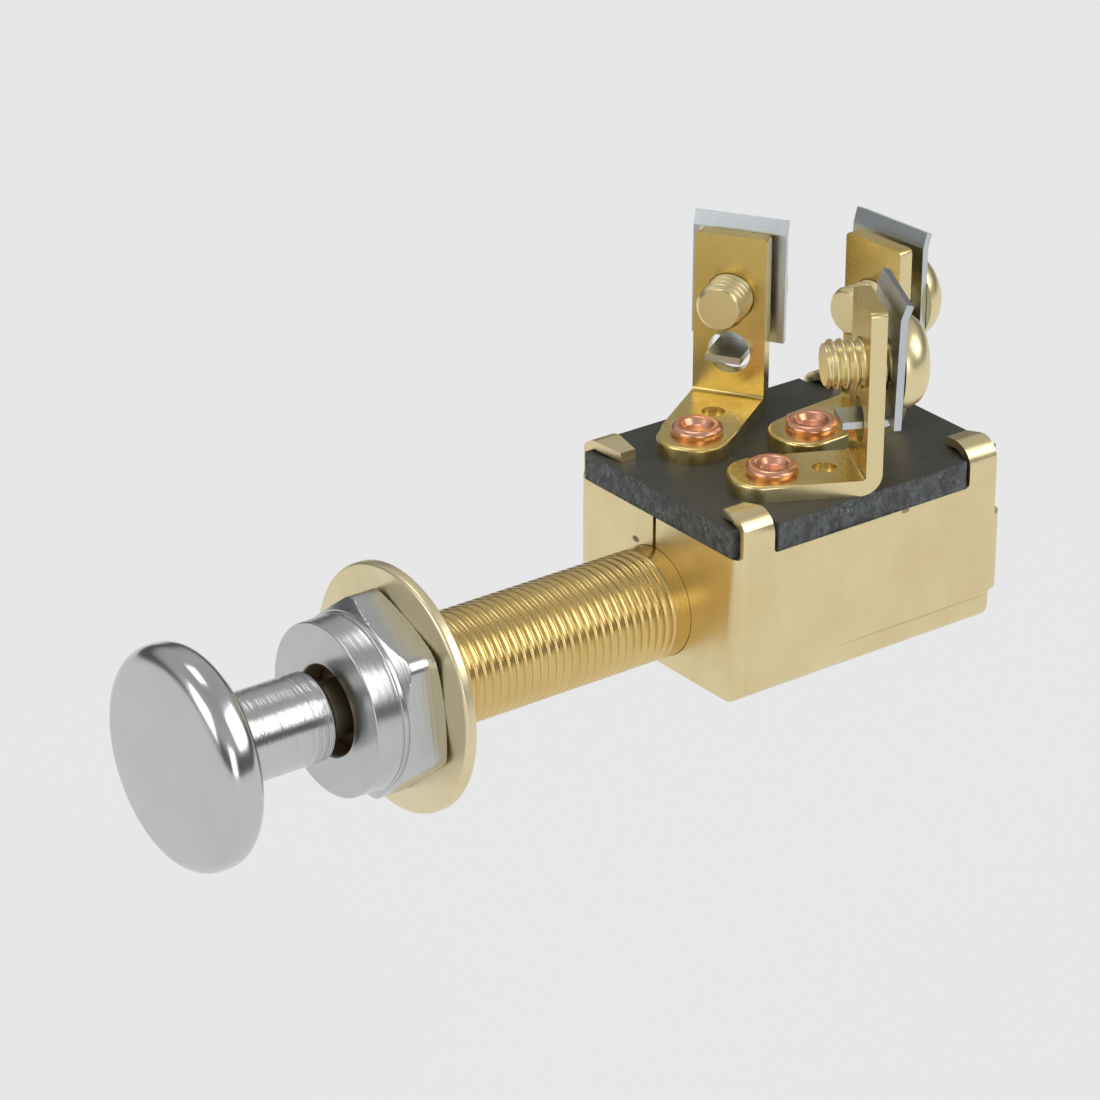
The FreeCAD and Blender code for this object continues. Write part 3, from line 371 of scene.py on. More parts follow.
@dataclass(frozen=True)
class Turned(Metal):
    """Turned metal: fine rings round the Y axis as well as small wear.

    Attributes:
        ring_scale: Rings per metre.
        ring_depth: The rings' bump strength.
        face_rings: Whether the front face has rings of its own, and is more matt.
        mouth: Radius within which the mouth is painted dark as shade, or 0.
        mouth_end: Where along Y the mouth ends.
        mouth_painted_shade: The painted shade inside the mouth.
        stem_from: Where along Y a stem begins, on which the rings are cut deeper.
        stem_cut: How much deeper they are there.
    """

    ring_scale: float = 5200
    ring_depth: float = 0.12
    face_rings: bool = False
    mouth: float = 0.0
    mouth_end: float = 0.0
    mouth_painted_shade: Colour = srgb(118, 98, 74)
    stem_from: float | None = None
    stem_cut: float = 9.0

    def build(self) -> bpy.types.Material:
        """Makes the material's nodes."""
        graph = Graph(self.name)
        along = graph.component(graph.place(), "Y")
        rings = graph.noise(self.ring_scale, Along.ROUND_Y.value, 4, 0.65)
        bands = graph.noise(self.ring_scale * 0.16, Along.ROUND_Y.value, 2, 0.5)
        patch = graph.noise(240, detail=3)
        roughness = self.roughness + (rings - 0.5) * self.spread + (patch - 0.5) * self.spread
        if self.face_rings:
            across = graph.add("CombineXYZ", None, {0: graph.off_axis() * self.ring_scale})
            face = graph.add("TexNoise", None, {"Vector": across, "Scale": 1.0, "Detail": 3.0})
            forward = graph.component(graph.facing(), "Y") * -1
            on_face = graph.ramp(forward, (0.75, 0.0), (0.95, 1.0))
            rings = rings + (face - rings) * on_face
            roughness = roughness + on_face * 0.12
        colour = graph.mix(patch * 0.5 + rings * 0.3 + bands * 0.2, self.tone, self.shade)
        metal: Wire | float = 1.0
        # Painted shade: inside the mouth the colour is darkened, made rougher and not metallic, standing in
        # for the shade in the hole.
        if self.mouth:
            share = graph.off_axis() * (0.5 / (self.mouth * MM))
            inside = graph.ramp(share, (0.485, 1.0), (0.5, 0.0)) * (along < self.mouth_end * MM)
            colour = graph.mix(inside, colour, self.mouth_painted_shade)
            roughness = roughness + inside * 0.3
            metal = 1.0 - inside
        height = rings + bands * 0.8
        if self.stem_from is not None:
            height = height * ((along > self.stem_from * MM) * self.stem_cut + 1.0)
        normal = graph.bump(self.ring_depth, 0.03, height)
        return graph.shade(Base_Color=colour, Metallic=metal, Roughness=roughness, Normal=normal)


@dataclass(frozen=True)
class Fibre:
    """Dark fibre board: smooth pressed faces and torn, flecked cut edges."""

    name: str = "dark_fibre"
    slot: str = "board_fibre"
    face: Colour = srgb(66, 67, 60)
    low: Colour = srgb(46, 47, 42)
    edge: Colour = srgb(70, 73, 72)
    streak: Colour = srgb(102, 107, 108)
    fleck: Colour = srgb(186, 192, 192)

    def build(self) -> bpy.types.Material:
        """Makes the material's nodes."""
        graph = Graph(self.name)
        fine = graph.noise(2600, detail=5, rough=0.7)
        torn = graph.noise(1700, (0.9, 0.9, 0.6), 5, 0.75)
        mottle = graph.noise(420, detail=4)
        level = graph.ramp(graph.component(graph.facing(), "Z"), (0.55, 0.0), (0.85, 1.0))
        streaks = graph.ramp(torn, (0.42, 0.0), (0.66, 1.0))
        flecks = graph.ramp(fine, (0.57, 0.0), (0.66, 1.0)) * graph.ramp(mottle, (0.48, 0.0), (0.62, 1.0))
        cut = graph.mix(streaks, graph.mix(mottle, self.edge, self.low), self.streak)
        cut = graph.mix(flecks * 0.7, cut, self.fleck)
        dust = graph.ramp(fine, (0.58, 0.0), (0.72, 1.0)) * 0.2
        top = graph.mix(dust, graph.mix(mottle, self.face, self.low), self.fleck)
        colour = graph.mix(level, cut, top)
        roughness = 0.60 + (fine - 0.5) * 0.2 - level * 0.12
        depth = torn * (1.2 - level * 1.15) + fine * 0.25 + mottle * 0.3
        normal = graph.bump(0.6, 0.15, depth)
        return graph.shade(Base_Color=colour, Roughness=roughness, Normal=normal)


@dataclass(frozen=True)
class Moulding:
    """Dark moulded plastic of the parts inside."""

    name: str = "dark_moulding"
    slot: str = "carriage_moulding"
    tone: Colour = srgb(70, 50, 40)

    def build(self) -> bpy.types.Material:
        """Makes the material's nodes."""
        graph = Graph(self.name)
        grain = graph.noise(1800, detail=4)
        colour = graph.mix(grain, self.tone, tuple(c * 0.6 for c in self.tone))
        normal = graph.bump(0.2, 0.04, grain)
        return graph.shade(Base_Color=colour, Roughness=0.4 + grain * 0.2, Normal=normal)


Finish = Rolled | Turned | Fibre | Moulding
SEAM_STAIN = Mark((-2.7, 0, 4.6), (0.5, 1.0, 0.3), tone=srgb(58, 46, 34))
# Painted shade: the crease's darker tone stands in for the shade along the bend, and its bump is real
# relief.
WALL_CREASE_AND_SHADE = Mark((10.9, 18.9, -3.05), (1.0, 9.6, 0.1), 0.3, 1.5, srgb(160, 136, 84))
RIM_NICK = Mark((10.9, 17.6, 7.35), (0.5, 0.5, 0.22), 0.6)
FINISHES: dict[str, Finish] = {
    "knob": Turned("satin_plate", "knob_plate", srgb(214, 214, 215), srgb(194, 194, 196), 0.18, 0.09,
                   3000, 0.3, face_rings=True, stem_from=-43.5),
    # The nut's and the bushing's mouths are painted dark as shade.
    "nut": Turned("bright_plate", "nut_plate", srgb(214, 215, 214), srgb(182, 185, 184), 0.24, 0.12,
                  3000, 0.9, mouth=3.9, mouth_end=-31.0),
    "washer": Rolled("washer_brass", "washer_brass", srgb(236, 222, 184), srgb(224, 208, 164), 0.36, 0.1,
                     Along.Z),
    "bushing": Turned("bushing_brass", "bushing_brass", srgb(236, 210, 146), srgb(208, 174, 102), 0.26,
                      0.14, 3600, 0.5, mouth=4.6, mouth_end=-30.7),
    "case": Rolled("case_brass", "case_brass", srgb(236, 220, 174), srgb(226, 206, 154), 0.33, 0.1, Along.Z,
                   grain_depth=0.07, scratches=0.15, marks=(SEAM_STAIN, WALL_CREASE_AND_SHADE, RIM_NICK)),
    "screw": Turned("screw_brass", "screw_brass", srgb(244, 232, 188), srgb(226, 208, 154), 0.33, 0.12),
    "eyelet": Rolled("eyelet_copper", "eyelet_copper", srgb(242, 184, 156), srgb(224, 142, 106), 0.28, 0.12,
                     grain_depth=0.08, patches=500),
    "bridge": Rolled("bridge_copper", "bridge_copper", srgb(206, 130, 98), srgb(170, 96, 70), 0.3, 0.12),
    "clamp": Rolled("clamp_steel", "clamp_steel", srgb(212, 217, 220), srgb(184, 191, 196), 0.3, 0.09,
                    Along.Z),
    "rod": Turned("rod_steel", "rod_steel", srgb(182, 172, 148), srgb(154, 142, 116), 0.4, 0.1),
    "spring": Rolled("spring_steel", "spring_steel", srgb(150, 150, 152), srgb(110, 110, 112), 0.3, 0.12),
    "board": Fibre(),
    "moulding": Moulding(),
}


def terminal_finish(seat: Seat) -> Rolled:
    """A terminal's brass, paler on the sheared edges of its blade."""
    swing = math.radians(seat.swing)
    return Rolled(
        "terminal_brass_" + seat.label, "terminal_brass", srgb(230, 208, 138), srgb(208, 178, 100),
        grain_scale=1600, grain_depth=0.05, patches=260, scratches=0.04,
        edge_tone=srgb(232, 216, 166), edge_way=(math.cos(swing), -math.sin(swing), 0))


FINISHES.update({"terminal_" + station.value.label: terminal_finish(station.value) for station in Station})


def placed(name: str, data: bpy.types.ID) -> bpy.types.Object:
    """Makes an object of some data and puts it in the scene."""
    made = bpy.data.objects.new(name, data)
    bpy.context.scene.collection.objects.link(made)
    return made


class Stock:
    """Builds each finish once and puts it on pieces."""

    def __init__(self) -> None:
        """Starts with nothing built."""
        self._built: dict[str, bpy.types.Material] = {}

    def coat(self, piece: bpy.types.Object, finish: str) -> None:
        """Gives a piece one finish."""
        if finish not in self._built:
            self._built[finish] = FINISHES[finish].build()
        piece.data.materials.clear()
        piece.data.materials.append(self._built[finish])


STOCK = Stock()


# Mesh helpers


def sharp_edges(mesh: bmesh.types.BMesh, least_angle: float) -> list[bmesh.types.BMEdge]:
    """Edges whose two faces meet at more than an angle in degrees."""
    limit = math.radians(least_angle)
    return [e for e in mesh.edges if len(e.link_faces) == 2 and e.calc_face_angle(0.0) > limit]


def soften(mesh: bmesh.types.BMesh, width: float, least_angle: float, segments: int = 2,
           chosen: Callable[[bmesh.types.BMEdge], bool] = lambda edge: True) -> None:
    """Bevels a mesh's sharp edges.

    Args:
        mesh: The mesh to change.
        width: The bevel's width.
        least_angle: Edges that turn less than this stay as they are.
        segments: Faces across the bevel.
        chosen: A further test that an edge has to pass.
    """
    edges = [e for e in sharp_edges(mesh, least_angle) if chosen(e)]
    bmesh.ops.bevel(mesh, geom=edges, offset=width * MM, offset_type="OFFSET", segments=segments,
                    profile=0.5, affect="EDGES", clamp_overlap=True, material=-1)


def carried(node: str) -> bmesh.types.BMesh:
    """A merged copy of a CAD node's mesh, its flat faces joined up."""
    mesh = bmesh.new()
    mesh.from_mesh(frame["nodes"][node].data)
    bmesh.ops.remove_doubles(mesh, verts=mesh.verts, dist=2e-7)
    bmesh.ops.dissolve_limit(mesh, angle_limit=math.radians(0.6), verts=mesh.verts, edges=mesh.edges)
    return mesh


def rounded(corners: Sequence[Sequence[float]], steps: int) -> list[Point]:
    """A profile with its corners rounded.

    Args:
        corners: (radius, y) or (radius, y, rounding).
        steps: Segments in each rounding.

    Returns:
        The profile's points.
    """
    points: list[Point] = []
    for index, corner in enumerate(corners):
        here = Vector(corner[:2])
        if len(corner) < 3:
            points.append(tuple(here))
            continue
        before, after = Vector(corners[index - 1][:2]), Vector(corners[(index + 1) % len(corners)][:2])
        back, onward = (before - here).normalized(), (after - here).normalized()
        half = back.angle(onward) / 2
        leg = corner[2] / math.tan(half)
        centre = here + (back + onward).normalized() * (corner[2] / math.sin(half))
        start = here + back * leg - centre
        sweep = math.pi - 2 * half
        sign = 1 if back.x * onward.y - back.y * onward.x < 0 else -1
        for step in range(steps + 1):
            turn = Matrix.Rotation(sign * sweep * step / steps, 2)
            points.append(tuple(centre + turn @ start))
    return points


def turned(profile: Sequence[Point], steps: int) -> bmesh.types.BMesh:
    """Spins a profile of (radius, y) about the Y axis."""
    mesh = bmesh.new()
    verts = [mesh.verts.new((x * MM, y * MM, 0)) for x, y in profile]
    edges = [mesh.edges.new(pair) for pair in zip(verts, verts[1:])]
    bmesh.ops.spin(mesh, geom=verts + edges, cent=(0, 0, 0), axis=(0, 1, 0), angle=math.tau,
                   steps=steps, use_merge=True, use_duplicate=False)
    bmesh.ops.remove_doubles(mesh, verts=mesh.verts, dist=1e-7)
    bmesh.ops.recalc_face_normals(mesh, faces=mesh.faces)
    return mesh


def hold_within(mesh: bmesh.types.BMesh, limit: Callable[[Vector], float]) -> None:
    """Draws vertices in towards the Y axis, to within a radius that depends on the place."""
    for vert in mesh.verts:
        radius, largest = math.hypot(vert.co.x, vert.co.z), limit(vert.co) * MM
        if radius > largest:
            vert.co.x *= largest / radius
            vert.co.z *= largest / radius


def threaded(start: float, end: float, crest: float, depth: float, pitch: float, steps: int,
             taper: Callable[[float], float], cap_start: bool = False,
             flat: float = 0.0) -> bmesh.types.BMesh:
    """A right-handed thread along the Y axis.

    Args:
        start: Lower end along Y.
        end: Upper end.
        crest: Radius over the thread.
        depth: Crest to root.
        pitch: Distance from one turn to the next.
        steps: Segments in a turn.
        taper: The largest radius at a place along Y, such as at a chamfered end.
        cap_start: Whether the lower end is closed.
        flat: Share of the pitch by which the crest is wider than on a sharp thread.

    Returns:
        The thread's skin, cut square at both ends.
    """
    mesh = bmesh.new()
    turns = math.ceil((end - start) / pitch) + 1
    groove = ((0.13, 0.0), (0.2, 0.12), (0.43, 0.86), (0.5, 1.0), (0.62, 1.0), (0.69, 0.86), (0.93, 0.12))
    shape = [(0.0, 0.0), *((flat + along * (1 - flat), low) for along, low in groove)]
    points = [
        (crest - depth * low, start - pitch + (turn + along) * pitch)
        for turn in range(turns) for along, low in shape
    ]
    points.append((crest, start - pitch + turns * pitch))
    verts = [mesh.verts.new((x * MM, y * MM, 0)) for x, y in points]
    edges = [mesh.edges.new(pair) for pair in zip(verts, verts[1:])]
    bmesh.ops.spin(mesh, geom=verts + edges, cent=(0, 0, 0), axis=(0, 1, 0), angle=math.tau,
                   dvec=(0, pitch * MM / steps, 0), steps=steps, use_merge=False, use_duplicate=False)
    bmesh.ops.remove_doubles(mesh, verts=mesh.verts, dist=2e-6)
    for level, outward in ((start, -1), (end, 1)):
        whole = mesh.verts[:] + mesh.edges[:] + mesh.faces[:]
        place, way = (0, level * MM, 0), (0, outward, 0)
        bmesh.ops.bisect_plane(mesh, geom=whole, plane_co=place, plane_no=way, clear_outer=True)
    hold_within(mesh, lambda place: taper(place.y / MM))
    if cap_start:
        rim = [e for e in mesh.edges if e.is_boundary and abs(e.verts[0].co.y - start * MM) < 1e-6]
        bmesh.ops.edgeloop_fill(mesh, edges=rim)
    bmesh.ops.recalc_face_normals(mesh, faces=mesh.faces)
    return mesh


def joined(mesh: bmesh.types.BMesh, extra: bmesh.types.BMesh) -> bmesh.types.BMesh:
    """Adds a second mesh to the first, and frees the second."""
    store = bpy.data.meshes.new("joining")
    extra.to_mesh(store)
    extra.free()
    mesh.from_mesh(store)
    bpy.data.meshes.remove(store)
    return mesh


def piece(name: str, mesh: bmesh.types.BMesh, body: str, finish: str, nodes: Iterable[str],
          sharp: float, place: Matrix | None = None) -> None:
    """Makes a finished object that stands for CAD nodes.

    Args:
        name: The object's name.
        mesh: Its geometry, which is freed.
        body: The CAD body that it rides on.
        finish: A key of FINISHES.
        nodes: The CAD nodes that it replaces.
        sharp: Edges that turn more than this angle in degrees stay crisp.
        place: A transform worked into the mesh.
    """
    if place is not None:
        bmesh.ops.transform(mesh, matrix=place, verts=mesh.verts)
    data = bpy.data.meshes.new(name)
    mesh.to_mesh(data)
    mesh.free()
    for polygon in data.polygons:
        polygon.use_smooth = True
    data.set_sharp_from_angle(angle=math.radians(sharp))
    made = placed(name, data)
    weighted = made.modifiers.new("flat_faces_first", "WEIGHTED_NORMAL")
    weighted.keep_sharp = True
    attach(made, body)
    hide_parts(*nodes)
    STOCK.coat(made, finish)
    LOG.info("%s: %d faces", name, len(data.polygons))


# Sub-assemblies


@dataclass
class Knob:
    """Mushroom knob and the rod that it is fixed to.

    Attributes:
        stem_radius: The stem's radius.
        stem_end: Where along Y the stem ends, at the nut.
        stem_chamfer: The chamfer round that end.
        back: Where along Y the head begins.
        head_radius: The head's radius.
        bore: Radius of the hole for the rod.
        bore_depth: Depth of that hole.
        shoulder: From the back to the underside's outer edge.
        rim: From the back to the front of the head's round rim.
        dome: From the back to the dome's outer edge.
        dome_inset: From the head's outline to the dome's outer edge.
        crown: From the back to the middle of the face.
        roundings: Of the stem's root, the rim's rear and front, and the dome's edge.
    """

    stem_radius: float = 3.7
    stem_end: float = -34.3
    stem_chamfer: float = 0.4
    back: float = -43.7
    head_radius: float = 9.25
    bore: float = 2.41
    bore_depth: float = 8.0
    shoulder: float = 0.9
    rim: float = 4.2
    dome: float = 4.6
    dome_inset: float = 3.2
    crown: float = 4.92
    roundings: tuple[float, float, float, float] = (1.1, 1.45, 1.65, 16)

    def build(self) -> None:
        """Makes the knob and dresses the rod and clip."""
        root, rear, front, edge = self.roundings
        profile = rounded([
            (0, self.stem_end - self.bore_depth),
            (self.bore, self.stem_end - self.bore_depth),
            (self.bore, self.stem_end, 0.15),
            (self.stem_radius - self.stem_chamfer, self.stem_end),
            (self.stem_radius, self.stem_end - self.stem_chamfer),
            (self.stem_radius, self.back - 0.1, root),
            (self.head_radius, self.back - self.shoulder, rear),
            (self.head_radius, self.back - self.rim, front),
            (self.head_radius - self.dome_inset, self.back - self.dome, edge),
            (0, self.back - self.crown),
        ], 12)
        piece("mushroom_knob", turned(profile, 160), "plunger", "knob", ["knob"], 30)
        STOCK.coat(frame["nodes"]["plunger_rod"], "rod")
        STOCK.coat(frame["nodes"]["rod_clip"], "spring")


@dataclass
class PanelHardware:
    """Bushing, nut and washer.

    Attributes:
        major: Radius over the bushing's thread.
        thread_depth: Crest to root.
        thread_flat: Share of the pitch by which the worn crests are wider.
        bushing_end: Where along Y the bushing ends.
        collar: Length of its plain collar in front of the case.
        bore: Radius of its hole.
        flange: Radius of its flange inside the case.
        flange_front: Where along Y the flange begins.
        flange_rear: Where it ends.
        flange_flat: Height of the flat under the flange.
        nut_rear: Where along Y the nut's rear face is.
        nut_front: Where its front end is.
        nut_play: Between the bushing and the nut.
        hexagon: The hexagon's length.
        flats: Its width across flats.
        corner_angle: The angle of one corner above +X in degrees.
        corner_rounding: Radius of the corners.
        collar_steps: The nut's collar, as radius, distance in front of the hexagon and rounding.
        collar_end: Its radius at the front.
        mouth: Radius of the hole round the knob's stem.
        mouth_depth: That hole's length.
        fine_from: The nut's profile is cut fine outside this radius, for the corners.
        fine_step: The length of a fine cut.
        washer_hole: Radius of the washer's hole.
        washer_rim: Its outer radius.
        washer_span: Its two faces, measured back from the nut's rear face.
    """

    major: float = 4.7625
    thread_depth: float = 0.15
    thread_flat: float = 0.35
    bushing_end: float = -30.9
    collar: float = 1.5
    bore: float = 2.44
    flange: float = 6.0
    flange_front: float = 0.8
    flange_rear: float = 1.8
    flange_flat: float = -4.5
    nut_rear: float = -26.85
    nut_front: float = -33.1
    nut_play: float = 0.08
    hexagon: float = 3.35
    flats: float = 15.2
    corner_angle: float = 39.5
    corner_rounding: float = 1.5
    collar_steps: tuple[tuple[float, ...], ...] = (
        (7.4, 0.02), (7.4, 0.4, 0.1), (7.28, 0.42), (7.28, 0.52), (7.36, 0.6, 0.05), (7.3, 0.8))
    collar_end: float = 7.25
    mouth: float = 3.72
    mouth_depth: float = 1.9
    fine_from: float = 6.0
    fine_step: float = 0.06
    washer_hole: float = 4.84
    washer_rim: float = 10.45
    washer_span: tuple[float, float] = (0.02, 0.97)

    def bushing(self) -> None:
        """Threaded tube with a plain collar against the case."""
        def runout(y: float) -> float:
            """Largest radius along the thread, for its chamfered front end."""
            return self.major - max(0.0, self.bushing_end + 0.5 - y)

        thread = threaded(self.bushing_end, -self.collar + 0.1, self.major, self.thread_depth,
                          PITCH, 96, runout, flat=self.thread_flat)
        tube = turned(rounded([
            (self.major - 0.52, self.bushing_end),
            (self.bore, self.bushing_end),
            (self.bore, self.flange_rear),
            (self.flange, self.flange_rear, 0.15),
            (self.flange, self.flange_front),
            (self.major, self.flange_front),
            (self.major, -self.collar, 0.12),
            (self.major - 0.5, -self.collar - 0.35),
        ], 4), 96)
        whole = joined(thread, tube)
        for vert in whole.verts:
            if vert.co.y > (self.flange_front - 0.01) * MM:
                vert.co.z = max(vert.co.z, self.flange_flat * MM)
        piece("threaded_tube", whole, "housing", "bushing", ["threaded_bushing"], 50)

    def hexagon_radius(self, angle: float) -> float:
        """Distance from the axis to the nut's rounded hexagon, at an angle above +X in radians."""
        half, rounding = self.flats / 2, self.corner_rounding
        from_corner = angle - math.radians(self.corner_angle)
        off_corner = abs((from_corner + HALF_FLAT) % (2 * HALF_FLAT) - HALF_FLAT)
        centre = (half - rounding) / math.cos(HALF_FLAT)
        tangent = math.atan2(rounding / 2, centre + rounding * math.cos(HALF_FLAT))
        if off_corner > tangent:
            return half / math.cos(HALF_FLAT - off_corner)
        return centre * math.cos(off_corner) + math.sqrt(rounding**2 - (centre * math.sin(off_corner)) ** 2)

    def nut(self) -> None:
        """Hexagon and stepped collar, closed down to a mouth round the stem."""
        half = self.flats / 2
        corner = half / math.cos(HALF_FLAT)
        hex_front = self.nut_rear - self.hexagon
        bore = self.major + self.nut_play
        profile = rounded([
            (bore, self.nut_rear - 0.4),
            (bore + 0.36, self.nut_rear),
            (half, self.nut_rear, 0.1),
            (corner, self.nut_rear - 0.35),
            (corner, hex_front + 0.8),
            (half - 0.1, hex_front, 0.3),
            *((radius, hex_front - along, *rounding) for radius, along, *rounding in self.collar_steps),
            (self.collar_end, self.nut_front, 0.14),
            (self.mouth, self.nut_front, 0.4),
            (self.mouth, self.nut_front + self.mouth_depth),
            (bore, self.nut_front + self.mouth_depth),
            (bore, self.nut_rear - 0.4),
        ], 8)
        fine: list[Point] = []
        for (r0, y0), (r1, y1) in zip(profile, profile[1:]):
            is_fine = max(r0, r1) > half - 0.2 and min(r0, r1) > self.fine_from
            parts = max(1, round(abs(y1 - y0) / self.fine_step)) if is_fine else 1
            fine += [(r0 + (r1 - r0) * k / parts, y0 + (y1 - y0) * k / parts) for k in range(parts)]
        mesh = turned(fine + [profile[-1]], 360)
        hold_within(mesh, lambda place: self.hexagon_radius(math.atan2(place.z, place.x)))
        piece("face_nut", mesh, "nut", "nut", ["panel_nut"], 24)

    def washer(self) -> None:
        """Punched ring with a rolled edge."""
        front, rear = (self.nut_rear + back for back in self.washer_span)
        profile = rounded([
            (self.washer_hole, rear),
            (self.washer_hole, front, 0.08),
            (self.washer_rim, front, 0.3),
            (self.washer_rim, rear, 0.1),
            (self.washer_hole, rear),
        ], 6)
        piece("flat_washer", turned(profile, 144), "washer", "washer", ["panel_washer"], 40)

    def build(self) -> None:
        """Makes all three."""
        self.bushing()
        self.nut()
        self.washer()


@dataclass
class Housing:
    """Folded case and its terminal board.

    Attributes:
        sheet_edge: Rounding of the case's sheared edges.
        board_edge: Rounding of the board's edges.
        chip_step: Length of the parts into which the board's outline is cut.
        chip_least: Shorter edges aren't cut.
        chip_depth: How deep the worn places go.
        chip_reach: How far from its faces the board is worn.
        chip_scales: Coarse and fine worn places per metre.
    """

    sheet_edge: float = 0.1
    board_edge: float = 0.14
    chip_step: float = 0.25
    chip_least: float = 1.5
    chip_depth: float = 0.3
    chip_reach: float = 0.3
    chip_scales: tuple[float, float] = (900, 2600)

    def case(self) -> None:
        """The folded case with its sheared edges broken."""
        mesh = carried("case")
        soften(mesh, self.sheet_edge, 40)
        piece("folded_case", mesh, "housing", "case", ["case"], 30)

    def board(self) -> None:
        """The fibre board with its edges worn and chipped."""
        mesh = carried("terminal_board")
        levels = [choose(v.co.z for v in mesh.verts) for choose in (min, max)]
        for edge in sharp_edges(mesh, 60):
            span = edge.calc_length()
            if span > self.chip_least * MM and abs(edge.verts[0].co.z - edge.verts[1].co.z) < 1e-6:
                bmesh.ops.subdivide_edges(mesh, edges=[edge], cuts=round(span / (self.chip_step * MM)))
        soften(mesh, self.board_edge, 60)
        for vert in mesh.verts:
            to_edge = min(abs(vert.co.z - level) for level in levels)
            on_side = any(abs(f.normal.z) < 0.3 for f in vert.link_faces)
            if on_side and to_edge < self.chip_reach * MM:
                coarse, fine = (noise.noise(vert.co * scale) for scale in self.chip_scales)
                vert.co -= vert.normal * max(0.0, coarse + 0.6 * fine) * self.chip_depth * MM
        piece("fibre_board", mesh, "housing", "board", ["terminal_board"], 40)

    def build(self) -> None:
        """Makes both."""
        self.case()
        self.board()


@dataclass
class Terminal:
    """One terminal: strip, eyelet, clamp plate and screw.

    Attributes:
        seat: Where it stands.
        major: Radius over the screw's thread.
        depth: Crest to root.
        reach: From the blade's front face to the screw's tip.
        drop: From the blade's top to the screw's axis.
        thickness: Of the strip.
        plate: Thickness of the clamp plate.
        plate_height: Its height.
        head_radius: Radius of the screw's head.
        head_play: Between the plate and the screw's head.
        bump: From the eyelet's axis to the dimple in the foot.
        clear_of: How far the foot's rounded outline stays from eyelet, dimple and blade.
        edge: Rounding of the strip's edges.
        foot_edge: Rounding of the foot's upper outline.
        plate_edge: Rounding of the plate's edges.
        head_edge: Rounding of the screw head's edges.
        contact: Radius of the eyelet's contact head.
        contact_span: Its lower and upper side.
        shank: Radius of the eyelet's shank.
        flange: From the foot to the top of the eyelet's flange.
        flange_foot: The flange's radius where it meets the foot.
        flange_steps: The flange, as radius, height above its top and rounding.
        crater: How far the floor of the flange's crater lies below its top.
    """

    seat: Seat
    major: float = 2.083
    depth: float = 0.36
    reach: float = 3.1
    drop: float = 5.5
    thickness: float = 1.38
    plate: float = 0.62
    plate_height: float = 11.0
    head_radius: float = 4.0
    head_play: float = 0.02
    bump: float = 4.4
    clear_of: tuple[float, float, float] = (2.5, 1.5, 0.6)
    edge: float = 0.14
    foot_edge: float = 0.28
    plate_edge: float = 0.12
    head_edge: float = 0.08
    contact: float = 2.2
    contact_span: tuple[float, float] = (-3.1, -2.5)
    shank: float = 1.45
    flange: float = 0.75
    flange_foot: float = 2.12
    flange_steps: tuple[tuple[float, float, float], ...] = (
        (2.24, -0.3, 0.25), (1.85, 0.02, 0.35), (1.42, -0.05, 0.3), (1.0, -0.6, 0.3))
    crater: float = 0.72

    @property
    def screw_height(self) -> float:
        """Height of the screw's axis above the board."""
        return self.seat.height - self.drop

    @property
    def head_seat(self) -> float:
        """Where the screw's head begins, from the eyelet's axis."""
        lean = math.radians(self.seat.lean)
        slope = math.tan(lean)
        above_foot = self.plate_height - self.drop - self.seat.rise
        plate_front = self.seat.offset + self.thickness + self.seat.gap + above_foot * slope
        return plate_front + self.plate / math.cos(lean) + self.head_radius * slope + self.head_play

    def screw(self) -> None:
        """The CAD head with a thread for its shank."""
        label = self.seat.label
        place = self.seat.place()
        axis = place.to_3x3() @ Vector((0, 1, 0))
        tip = self.seat.offset - self.reach
        under = place @ (Vector((0, self.head_seat + 0.005, self.screw_height)) * MM)
        head = carried("screw_" + label)
        whole = head.verts[:] + head.edges[:] + head.faces[:]
        bmesh.ops.bisect_plane(head, geom=whole, plane_co=under, plane_no=axis, clear_inner=True)
        bmesh.ops.holes_fill(head, edges=[e for e in head.edges if e.is_boundary], sides=0)
        soften(head, self.head_edge, 35)

        def tip_chamfer(y: float) -> float:
            """Largest radius near the screw's tip."""
            return self.major - max(0.0, tip + 0.4 - y) * 0.9

        thread = threaded(tip, self.head_seat + 0.05, self.major, self.depth, PITCH, 60,
                          tip_chamfer, cap_start=True)
        on_axis = place @ Matrix.Translation((0, 0, self.screw_height * MM))
        bmesh.ops.transform(thread, matrix=on_axis, verts=thread.verts)
        piece("binding_screw_" + label, joined(head, thread), f"screw_{label}_set", "screw",
              ["screw_" + label], 40)

    def eyelet(self) -> None:
        """A rolled flange round a shallow crater, on the shank and its contact head."""
        label = self.seat.label
        low, high = self.contact_span
        top = self.thickness + self.flange
        profile = rounded([
            (0, low),
            (self.contact, low, 0.2),
            (self.contact, high),
            (self.shank, high),
            (self.shank, self.thickness),
            (self.flange_foot, self.thickness),
            *((radius, top + above, rounding) for radius, above, rounding in self.flange_steps),
            (0, top - self.crater),
        ], 6)
        mesh = turned(profile, 64)
        bmesh.ops.transform(mesh, matrix=Matrix.Rotation(math.pi / 2, 4, "X"), verts=mesh.verts)
        bmesh.ops.recalc_face_normals(mesh, faces=mesh.faces)
        piece("copper_eyelet_" + label, mesh, "housing", "eyelet", ["eyelet_" + label], 45,
              self.seat.place())

    def is_foot_outline(self, edge: bmesh.types.BMEdge) -> bool:
        """Whether an edge of the strip is on the upper outline of its foot."""
        to_seat = self.seat.place().inverted()
        of_eyelet, of_bump, of_blade = self.clear_of
        return all(
            abs(p.z - self.thickness) < 0.01 and p.y < self.seat.offset - of_blade
            and math.hypot(p.x, p.y) > of_eyelet and math.hypot(p.x, p.y - self.bump) > of_bump
            for p in (to_seat @ v.co / MM for v in edge.verts))

